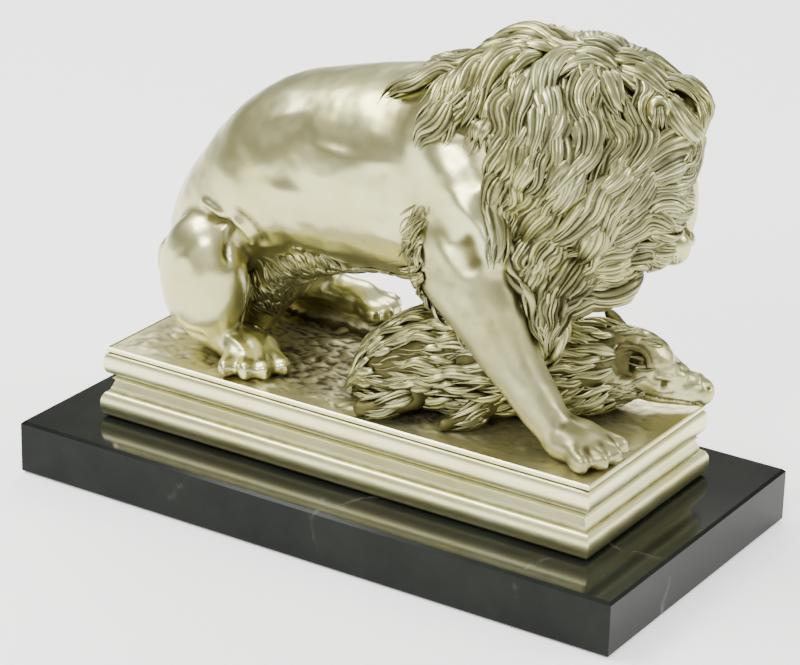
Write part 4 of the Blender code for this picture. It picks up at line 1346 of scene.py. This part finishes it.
def add_ear_tufts(sides, rng):
    """A few short tufts that grow out of each of the lion's ears and hang over its lower rim."""
    x, y, z = EAR_PLACE
    for strands, way in zip(sides, (1, -1)):
        out = HEAD_TURN @ Vector((way, 0, 0))
        for k in range(EAR_TUFTS):
            fan = k - (EAR_TUFTS - 1) / 2
            course = []
            for step in range(7):
                t = step / 6
                bow = 2.4 * math.sin(math.pi * min(1.0, 1.3 * t))
                spot = head_spot(way * (x + 2.2 + bow), y - 2 + 12 * t, z + fan * (0.8 + 1.5 * t))
                course.append((spot, out, out))
            add_lock(strands, course, rng.uniform(1.0, 1.5), 0.6, 0.2, rng, FUR_TRESSES, 0.0, 0.05)


def add_leg_hair(strands, rng):
    """Long hair along the boar's near legs, round their upper and outer sides."""
    for stations in BOAR_LEGS[2:]:
        path = smooth_stations(stations)
        centres = [Vector(station[:3]) for station in path]
        along = (centres[-1] - centres[0]).normalized()
        across = along.cross(Vector((0, 0, 1))).normalized()
        up = across.cross(along)
        for k in range(LEG_LOCKS):
            angle = math.radians(-50 + 280 * k / (LEG_LOCKS - 1)) + rng.uniform(-0.2, 0.2)
            out = across * math.cos(angle) + up * math.sin(angle)
            sway = rng.uniform(0, 6.3)
            course = []
            for i, (centre, station) in enumerate(zip(centres, path)):
                side = out.cross(along) * 0.9 * math.sin(sway + 0.7 * i)
                course.append((centre + out * station[4] * 0.92 + side, out, along))
            start = rng.randint(0, 3)
            course = course[start:start + rng.randint(7, 10)]
            add_lock(strands, course, rng.uniform(1.6, 2.4), 0.7, 0.8, rng, BRISTLE_TRESSES, 0.9, 0.08)


def strewn(first, last, rng, stray):
    """A random place beside the line between two places, off it by a stray amount each way."""
    place = Vector(first).lerp(Vector(last), rng.random())
    return place + Vector([stray() for _ in range(3)])


def add_brow_hair(strands, tree, rng):
    """Short fur on the boar's forehead and cheek, that lies back towards its ear."""
    for first, last, spread, count in BOAR_FUR:
        for _ in range(count):
            root = strewn(first, last, rng, lambda: rng.uniform(-spread, spread))
            course = fur_course(tree, root, Vector(BOAR_FUR_WAY), rng.uniform(*BOAR_FUR_LENGTH), rng)
            width = rng.uniform(0.7, 1.2)
            if (course[0][0] - Vector(BOAR_EAR)).length > BOAR_EAR_ROOM:
                add_lock(strands, course, width, 0.5, 0.3, rng, FUR_TRESSES, 0.8, 0.05)


def bare_places(places, drawn, room):
    """The places that no lock comes near to."""
    drawn = np.array(drawn)
    return [p for p in places if ((drawn - np.array(p)) ** 2).sum(axis=1).min() > room ** 2]


def scattered(kind, tree, roots, way_at, rng, stops):
    """The root and the course of each lock of a kind, cut where one of the stops bars it."""
    wanted, spacing, length, wave = kind
    for root in scatter(roots, wanted, spacing, rng):
        course = lock_course(tree, root, way_at, rng.uniform(*length), rng, wave)
        for barred in stops:
            course = before(course, barred)
        yield root, course


def mane_piece(pieces, place):
    """The piece of the mane that a lock with its root at a place belongs to."""
    side = "far" if place.y > CREST_HALF else "near" if place.y < -CREST_HALF else "crest"
    return pieces["mane_" + side]


def add_chief_locks(pieces, tree, rng):
    """The mane's listed locks; gives their places."""
    drawn = []
    for line in guide_lines():
        course = before(unbroken(drawn_course(tree, line)), on_forearm, SHORTEST)
        lift = GUIDE_LIFT * share_of(course[-1][0].x, GUIDE_LIFT_SPAN)
        add_shingled(mane_piece(pieces, course[0][0]), course, GUIDE_WIDTH, LOCK_DEPTH, lift, rng)
        drawn += [step[0] for step in course]
    return drawn


def grow_mane(pieces, tree, places, rng, extra):
    """The chief locks, the scattered locks between them, and fillers and single hairs over the rest."""
    roots = [p for p in places if in_mane(p) and not (in_face(p) or by_ear(p) or near_foreleg(p))]
    stops = (barred_by_face, on_forearm, on_shoulder)
    drawn = add_chief_locks(pieces, tree, extra)
    for root, course in scattered(MANE_LOCKS, tree, roots, mane_way, rng, (barred_by_face,)):
        if len(course) > SHORTEST + 1:
            course = before(course, on_forearm, SHORTEST)
            width, lift = rng.uniform(*MANE_WIDTH), rng.uniform(*MANE_LIFT)
            course = before(course, on_shoulder)
            if len(course) > SHORTEST:
                add_lock(mane_piece(pieces, root), course, width, LOCK_DEPTH, lift, extra)
                drawn += [step[0] for step in course]
    for line in CROWN_TUFTS:
        course = drawn_course(tree, smooth_line(line))
        add_lock(pieces["mane_crest"], course, TUFT_WIDTH, LOCK_DEPTH, TUFT_LIFT, extra)
    bare = bare_places(roots, drawn, MANE_BARE)
    for root, course in scattered(MANE_FILLERS, tree, bare, mane_way, extra, stops):
        if len(course) > SHORTEST:
            width, lift = extra.uniform(*MANE_FILLER_WIDTH), extra.uniform(*MANE_FILLER_LIFT)
            add_lock(mane_piece(pieces, root), course, width, 0.75, lift, extra, FILLER_TRESSES)
    for root, course in scattered(MANE_HAIRS, tree, list(roots), mane_way, extra, stops):
        if len(course) > SHORTEST:
            lift, radius = extra.uniform(*MANE_HAIR_LIFT), extra.uniform(*MANE_HAIR_RADIUS)
            # Painted shade: single hairs that lie lower, nearer the skin, are darker.
            add_hairline(mane_piece(pieces, root), course, radius, lift, 0.5 - 0.09 * lift)


def grow_coat(bristles, tree, places, rng, extra):
    """The boar's bristles, with fillers and single hairs between them."""
    roots = [p for p in places if in_boar_coat(p) and not near_foreleg(p)]
    stops = (near_foreleg,)
    drawn = []
    for _, course in scattered(BRISTLES, tree, roots, bristle_way, rng, stops):
        width = rng.uniform(*BRISTLE_WIDTH)
        if len(course) > SHORTEST:
            add_lock(bristles, course, width, 0.65, BRISTLE_LIFT, extra, BRISTLE_TRESSES, 0.6, -0.06)
            drawn += [step[0] for step in course]
    bare = bare_places(roots, drawn, COAT_BARE)
    for _, course in scattered(COAT_FILLERS, tree, bare, bristle_way, extra, stops):
        width = extra.uniform(*COAT_FILLER_WIDTH)
        if len(course) > SHORTEST:
            lift = extra.uniform(*COAT_FILLER_LIFT)
            add_lock(bristles, course, width, LOCK_DEPTH, lift, extra, FUR_TRESSES, 0.9, -0.12)
    for _, course in scattered(COAT_HAIRS, tree, list(roots), bristle_way, extra, stops):
        lift = extra.uniform(*COAT_HAIR_LIFT)
        if len(course) > SHORTEST:
            # Painted shade: single hairs that lie lower, nearer the skin, are darker.
            add_hairline(bristles, course, extra.uniform(*COAT_HAIR_RADIUS), lift, 0.34 - 0.08 * lift)


def grow_fur(fringes, tree, rng, extra):
    """The short fur behind the elbows, along the belly and inside the thighs."""
    for first, last, spread, count, way, length in FUR:
        for _ in range(count):
            root = strewn(first, last, rng, lambda: rng.uniform(-spread, spread))
            course = fur_course(tree, root, Vector(way), length * rng.uniform(0.7, 1.2), rng)
            width = rng.uniform(*FUR_WIDTH)
            if not on_bare_trunk(root):
                lift = 0.1 + ELBOW_LIFT * share_of(root.x, ELBOW_SPAN)
                add_lock(fringes, course, width, 0.5, lift, extra, BRISTLE_TRESSES, 0.7, -0.04)
        for _ in range(count * FUR_HAIRS):
            root = strewn(first, last, extra, lambda: extra.gauss(0, 0.45 * spread))
            course = fur_course(tree, root, Vector(way), length * extra.uniform(0.5, 1.1), extra, 0.25)
            if not on_bare_trunk(root):
                lift = extra.uniform(0.1, 0.9) + ELBOW_LIFT * share_of(root.x, ELBOW_SPAN)
                add_hairline(fringes, course, extra.uniform(0.35, 0.7), lift, 0.35)


def build_hair(coarse, rng, extra):
    """The mane, the boar's bristles and the short fur, along the same courses as in the solids."""
    tree = tree_of(coarse)
    places = [v.co.copy() for v in coarse.vertices]
    pieces = {name: Strands(rings) for name, rings in HAIR_RINGS.items()}
    near, bristles = pieces["mane_near"], pieces["boar_bristles"]
    sides = (near, pieces["mane_far"])
    grow_mane(pieces, tree, places, rng, extra)
    grow_coat(bristles, tree, places, rng, extra)
    add_ear_tufts(sides, extra)
    add_leg_hair(bristles, extra)
    add_brow_hair(bristles, tree, extra)
    stray = unbroken(drawn_course(tree, smooth_line(STRAY_LOCK)))
    add_lock(near, stray, STRAY_WIDTH, 0.75, 1.5, extra, BRISTLE_TRESSES)
    add_whiskers(sides, tree, extra)
    grow_fur(pieces["fringes"], tree, rng, extra)
    return [strands.build(name) for name, strands in pieces.items()]


def arc(inset, height, bulge, rise, steps):
    """Profile points along half an oval that bulges outwards from one level to another."""
    found = []
    for k in range(steps + 1):
        angle = math.pi * k / steps
        found.append((inset - bulge * math.sin(angle), height + rise * (1 - math.cos(angle)) / 2))
    return found


def base_profile():
    """The moulding of the base, from its foot to its rim, as (inset, height)."""
    face_foot = TORUS_HEIGHT + QUIRK_HEIGHT
    lip_foot = BASE_HEIGHT - LIP_HEIGHT - RIM_HEIGHT
    rim_foot = lip_foot + LIP_HEIGHT
    groove = FACE_INSET + GROOVE_DEPTH
    lip_inset = LIP_INSET + LIP_BULGE
    profile = arc(TORUS_BULGE, 0.0, TORUS_BULGE, TORUS_HEIGHT, TORUS_STEPS)
    profile += [
        (TORUS_BULGE + STEP_DEPTH, TORUS_HEIGHT + EASE),
        (TORUS_BULGE + STEP_DEPTH, face_foot),
        (FACE_INSET, face_foot + GROOVE_DEPTH),
        (FACE_INSET + FACE_HOLLOW, (face_foot + lip_foot) / 2),
        (FACE_INSET, lip_foot - GROOVE_HEIGHT),
        (groove, lip_foot - GROOVE_HEIGHT + GROOVE_DEPTH),
        (groove, lip_foot - EASE),
    ]
    profile += arc(lip_inset, lip_foot, LIP_BULGE, LIP_HEIGHT, LIP_STEPS)
    profile += [
        (lip_inset + RIM_EDGE, rim_foot + RIM_EDGE),
        (LIP_INSET + RIM_STEP, rim_foot + 2 * RIM_EDGE),
        (LIP_INSET + RIM_STEP, BASE_HEIGHT - RIM_EDGE),
        (LIP_INSET + RIM_STEP + RIM_EDGE, BASE_HEIGHT),
    ]
    return profile


def rim_inside():
    """The rim's rounded inner edge, which goes down to the soil."""
    return [
        (RIM_WIDTH - 0.0006, BASE_HEIGHT),
        (RIM_WIDTH - 0.0002, BASE_HEIGHT - 0.0010),
        (RIM_WIDTH + 0.0006, BASE_HEIGHT - 0.0012),
    ]


def build_base():
    """The moulded base, with corners slightly worn and long sides that are not dead straight."""
    bm = bmesh.new()
    loops = []
    for inset, height in base_profile() + rim_inside():
        x = BASE_LENGTH / 2 - inset
        y = BASE_WIDTH / 2 - inset
        corners = ((-x, -y), (x, -y), (x, y), (-x, y))
        loop = []
        for start, end in zip(corners, corners[1:] + corners[:1]):
            for k in range(BASE_PARTS):
                t = k / BASE_PARTS
                px = start[0] + (end[0] - start[0]) * t
                py = start[1] + (end[1] - start[1]) * t
                wave = noise.noise(Vector((px, py, height * 0.6)) / WAVE_LENGTH) * WAVE_HEIGHT
                size = 1 - abs(wave) / x
                loop.append(bm.verts.new((px * size, py * size, BASE_FOOT + height)))
        loops.append(loop)
    skin_loops(bm, loops)
    mesh = mesh_of("base_moulding", bm)
    mesh.shade_smooth()
    mesh.set_sharp_from_angle(angle=BASE_CREASE)
    heights = np.array([v.co.z - BASE_FOOT for v in mesh.vertices])
    quirk = TORUS_HEIGHT + QUIRK_HEIGHT / 2
    lip_foot = BASE_HEIGHT - LIP_HEIGHT - RIM_HEIGHT
    rim = lip_foot + LIP_HEIGHT + 0.0004
    grooves = [(quirk, 0.0008), (lip_foot - 0.0009, 0.0010), (rim, 0.0005), (0.0, 0.0012)]
    value = sum(np.exp(-(((heights - level) / reach) ** 2)) for level, reach in grooves)
    set_patina_and_shade(mesh, np.clip(0.12 + 0.8 * value, 0, 1))
    return add_object("base_moulding", mesh)


def feed(tree, socket, value):
    """Links an output to an input, or sets the input's value."""
    if isinstance(value, bpy.types.NodeSocket):
        tree.links.new(value, socket)
    else:
        socket.default_value = value


def node(tree, kind, *firsts, **values):
    """A new node; its first inputs, its properties and its named inputs are given."""
    made = tree.nodes.new("ShaderNode" + kind)
    for key, value in values.items():
        if hasattr(made, key):
            setattr(made, key, value)
        else:
            feed(tree, made.inputs[key.replace("_", " ")], value)
    for socket, value in zip(made.inputs, firsts):
        feed(tree, socket, value)
    return made


def mix(tree, share, first, second):
    """The colour between two colours."""
    return node(tree, "Mix", data_type="RGBA", Factor=share, A=first, B=second).outputs["Result"]


def ramp(tree, share, stops):
    """The colour along a ramp of (place, colour) stops."""
    made = node(tree, "ValToRGB", share)
    elements = made.color_ramp.elements
    while len(elements) < len(stops):
        elements.new(0.5)
    for element, (place, colour) in zip(elements, stops):
        element.position = place
        element.color = (*colour, 1)
    return made.outputs["Color"]


def feed_shader(tree, **values):
    for key, value in values.items():
        feed(tree, tree.nodes["Principled BSDF"].inputs[key.replace("_", " ")], value)


def new_material(name, **values):
    """A material with some inputs of its shader set, and its node tree."""
    material = bpy.data.materials.new(name)
    material.use_nodes = True
    feed_shader(material.node_tree, **values)
    return material, material.node_tree


def places_on(tree):
    return node(tree, "TexCoord").outputs["Object"]


# The tones of a finish: bright metal, warmer metal, dark patina.
SKIN_TONES = ((0.67, 0.655, 0.36), (0.56, 0.535, 0.24), (0.11, 0.10, 0.035))
HAIR_TONES = ((0.50, 0.495, 0.27), (0.42, 0.405, 0.16), (0.035, 0.032, 0.013))
SOIL_TONES = ((0.66, 0.63, 0.38), (0.50, 0.46, 0.24), (0.07, 0.06, 0.025))
# The moulding's tones are more golden than the figure's, and brighter as painted light standing in for the
# bright floor that its faces reflect.
BASE_TONES_GOLDEN_AND_LIT = ((0.98, 0.955, 0.56), (0.90, 0.865, 0.41), (0.13, 0.12, 0.04))
# A finish is (name, tones, roughness of the ridges, roughness of the hollows, grain, mottling).
FINISHES = (
    ("polished_bronze", SKIN_TONES, 0.24, 0.50, 0.06, 0.30),
    ("silvered_hair", HAIR_TONES, 0.26, 0.55, 0.10, 0.50),
    ("soil_bronze", SOIL_TONES, 0.34, 0.60, 0.15, 0.55),
    ("moulding_bronze", BASE_TONES_GOLDEN_AND_LIT, 0.26, 0.50, 0.06, 0.30),
)


def bronze_material(name, tones, polish, dull, grain, mottle):
    """Silvered bronze: bright on the ridges, warmer in broad clouds, dark patina in the hollows, and painted
    shade where the mesh marks it.
    """
    bright, warm, dark = ((*tone, 1) for tone in tones)
    material, tree = new_material(name, Metallic=1.0)
    place = places_on(tree)
    cloud = node(tree, "TexNoise", place, Scale=26.0, Detail=3.0, Roughness=0.55).outputs["Fac"]
    speck = node(tree, "TexNoise", place, Scale=900.0, Detail=2.0, Roughness=0.6).outputs["Fac"]
    smear = node(tree, "TexNoise", place, Scale=120.0, Detail=4.0, Roughness=0.6).outputs["Fac"]
    # The mesh's darkening: dark patina in the hollows, plus painted shade and painted shadow in places.
    patina_and_shade = node(tree, "Attribute", attribute_name="patina_and_shade").outputs["Fac"]
    stain_patina_and_shade = node(tree, "Math", smear, mottle, patina_and_shade, operation="MULTIPLY_ADD").outputs[0]
    soft = "SMOOTHSTEP"
    amount = node(tree, "MapRange", stain_patina_and_shade, interpolation_type=soft, From_Min=0.22, From_Max=1.0).outputs[0]
    tint = node(tree, "MapRange", cloud, From_Min=0.35, From_Max=0.68).outputs[0]
    rough = node(tree, "MapRange", amount, To_Min=polish, To_Max=dull).outputs[0]
    bump = node(tree, "Bump", Strength=grain, Distance=0.0004, Height=speck).outputs["Normal"]
    feed_shader(
        tree,
        Base_Color=mix(tree, amount, mix(tree, tint, bright, warm), dark),
        Roughness=node(tree, "Math", smear, 0.12, rough, operation="MULTIPLY_ADD").outputs[0],
        Normal=bump,
    )
    return material


def marble_material():
    """Polished black marble with faint green clouds and a few thin pale veins."""
    material, tree = new_material("black_marble", Roughness=0.11, Specular_IOR_Level=0.12)
    place = places_on(tree)
    cloud = node(tree, "TexNoise", place, Scale=18.0, Detail=6.0, Roughness=0.65).outputs["Fac"]
    warp = node(tree, "TexNoise", place, Scale=9.0, Detail=5.0, Roughness=0.6).outputs["Color"]
    shift = node(tree, "VectorMath", warp, operation="SCALE", Scale=0.07).outputs[0]
    moved = node(tree, "VectorMath", place, shift, operation="ADD").outputs[0]
    cells = node(tree, "TexVoronoi", moved, feature="DISTANCE_TO_EDGE", Scale=11.0).outputs["Distance"]
    vein = ramp(tree, cells, ((0.0, (1, 1, 1)), (0.006, (0.5, 0.5, 0.5)), (0.022, (0, 0, 0))))
    gate = ramp(tree, cloud, ((0.54, (0, 0, 0)), (0.72, (1, 1, 1))))
    share = node(tree, "Math", vein, gate, operation="MULTIPLY").outputs[0]
    base = ramp(tree, cloud, ((0.3, (0.005, 0.006, 0.005)), (0.75, (0.014, 0.017, 0.013))))
    feed_shader(tree, Base_Color=mix(tree, share, base, (0.12, 0.125, 0.11, 1)))
    return material


def floor_material():
    return new_material(
        "studio_floor",
        Base_Color=(0.93, 0.93, 0.92, 1),
        Roughness=0.9,
        Emission_Color=(1, 1, 1, 1),
        Emission_Strength=0.72,
    )[0]


def build_floor():
    bm = bmesh.new()
    bmesh.ops.create_grid(bm, x_segments=1, y_segments=1, size=14.0)
    floor = add_object("studio_floor", mesh_of("studio_floor", bm))
    floor.data.materials.append(floor_material())
    floor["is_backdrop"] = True


def add_light(name, place, size, power):
    light = bpy.data.lights.new(name, "AREA")
    light.shape = "RECTANGLE"
    light.size, light.size_y = size
    light.energy = power
    obj = add_object(name, light)
    obj.location = place
    obj.rotation_euler = (Vector(LIGHT_AIM) - Vector(place)).to_track_quat("-Z", "Y").to_euler()


# Each light is (name, place, size, power); the sky's stops are (height, colour).
LIGHT_AIM = (0, 0, 0.1)
LIGHTS = (
    ("key", (0.15, -1.7, 1.25), (0.6, 0.5), 24),
    ("top", (-0.75, -0.30, 1.35), (0.9, 0.7), 30),
    ("rim", (1.3, 0.6, 0.9), (0.7, 0.7), 14),
    ("back", (-0.6, 1.3, 1.3), (0.9, 0.9), 22),
)
SKY = (
    (0.0, (0.85, 0.85, 0.84)),
    (0.09, (0.75, 0.75, 0.73)),
    (0.15, (0.32, 0.31, 0.26)),
    (0.28, (0.26, 0.25, 0.20)),
    (0.45, (0.60, 0.59, 0.55)),
    (0.75, (0.95, 0.95, 0.93)),
    (1.0, (1.0, 1.0, 1.0)),
)


def light_studio():
    """Soft boxes above and beside the figure, and a pale sky that darkens towards the horizon."""
    for light in LIGHTS:
        add_light(*light)
    world = bpy.data.worlds.new("studio")
    bpy.context.scene.world = world
    world.use_nodes = True
    tree = world.node_tree
    split = node(tree, "SeparateXYZ", node(tree, "TexCoord").outputs["Generated"])
    background = tree.nodes["Background"]
    feed(tree, background.inputs["Color"], ramp(tree, split.outputs["Z"], SKY))
    feed(tree, background.inputs["Strength"], 1.0)


CAMERA_LENS = 140.412
CAMERA_PLACE = (0.6666, -1.0517, 0.59709)
CAMERA_AZIMUTH = math.radians(32.417)
CAMERA_ELEVATION = math.radians(22.619)
CAMERA_ROLL = math.radians(1.431)


def place_camera():
    """The camera stands where the photograph was taken from."""
    level = math.cos(CAMERA_ELEVATION)
    turned = (math.sin(CAMERA_AZIMUTH) * level, -math.cos(CAMERA_AZIMUTH) * level)
    back = Vector((*turned, math.sin(CAMERA_ELEVATION)))
    right = Vector((math.cos(CAMERA_AZIMUTH), math.sin(CAMERA_AZIMUTH), 0))
    up = back.cross(right)
    turned_right = right * math.cos(CAMERA_ROLL) + up * math.sin(CAMERA_ROLL)
    turned_up = up * math.cos(CAMERA_ROLL) - right * math.sin(CAMERA_ROLL)
    data = bpy.data.cameras.new("camera")
    data.lens = CAMERA_LENS
    data.sensor_width = 36
    camera = add_object("camera", data)
    turn = Matrix((turned_right, turned_up, back)).transposed().to_4x4()
    camera.matrix_world = Matrix.Translation(CAMERA_PLACE) @ turn
    bpy.context.scene.camera = camera


def coarse_core(ball):
    bm = bmesh.new()
    add_lion_core(bm, ball)
    add_boar_core(bm)
    return soften(fuse(bm, CORE_VOXEL, CORE_SOFTEN), TRUNK_ROUNDS, in_trunk)


def main():
    place_camera()
    light_studio()
    build_floor()
    ball = make_ball()
    body = build_body(ball)
    head = build_head(ball)
    boar = build_boar(ball)
    ground = build_ground()
    base = build_base()
    hair = build_hair(coarse_core(ball), random.Random(SEED), random.Random(SEED + 1))
    skin, silver, soil, moulding = (bronze_material(*finish) for finish in FINISHES)
    finishes = {body: skin, head: skin, boar: skin, ground: soil, base: moulding}
    finishes.update({piece: silver for piece in hair})
    for piece, material in finishes.items():
        piece.data.materials.append(material)
        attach(piece, "root")
        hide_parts("bronze_lion_group")
    plinth = frame["nodes"]["marble_plinth"]
    plinth.data.materials.clear()
    plinth.data.materials.append(marble_material())


main()
boxes = {"cad": cad_box, "scene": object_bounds()}
{name: [list(corner) for corner in box] for name, box in boxes.items()}
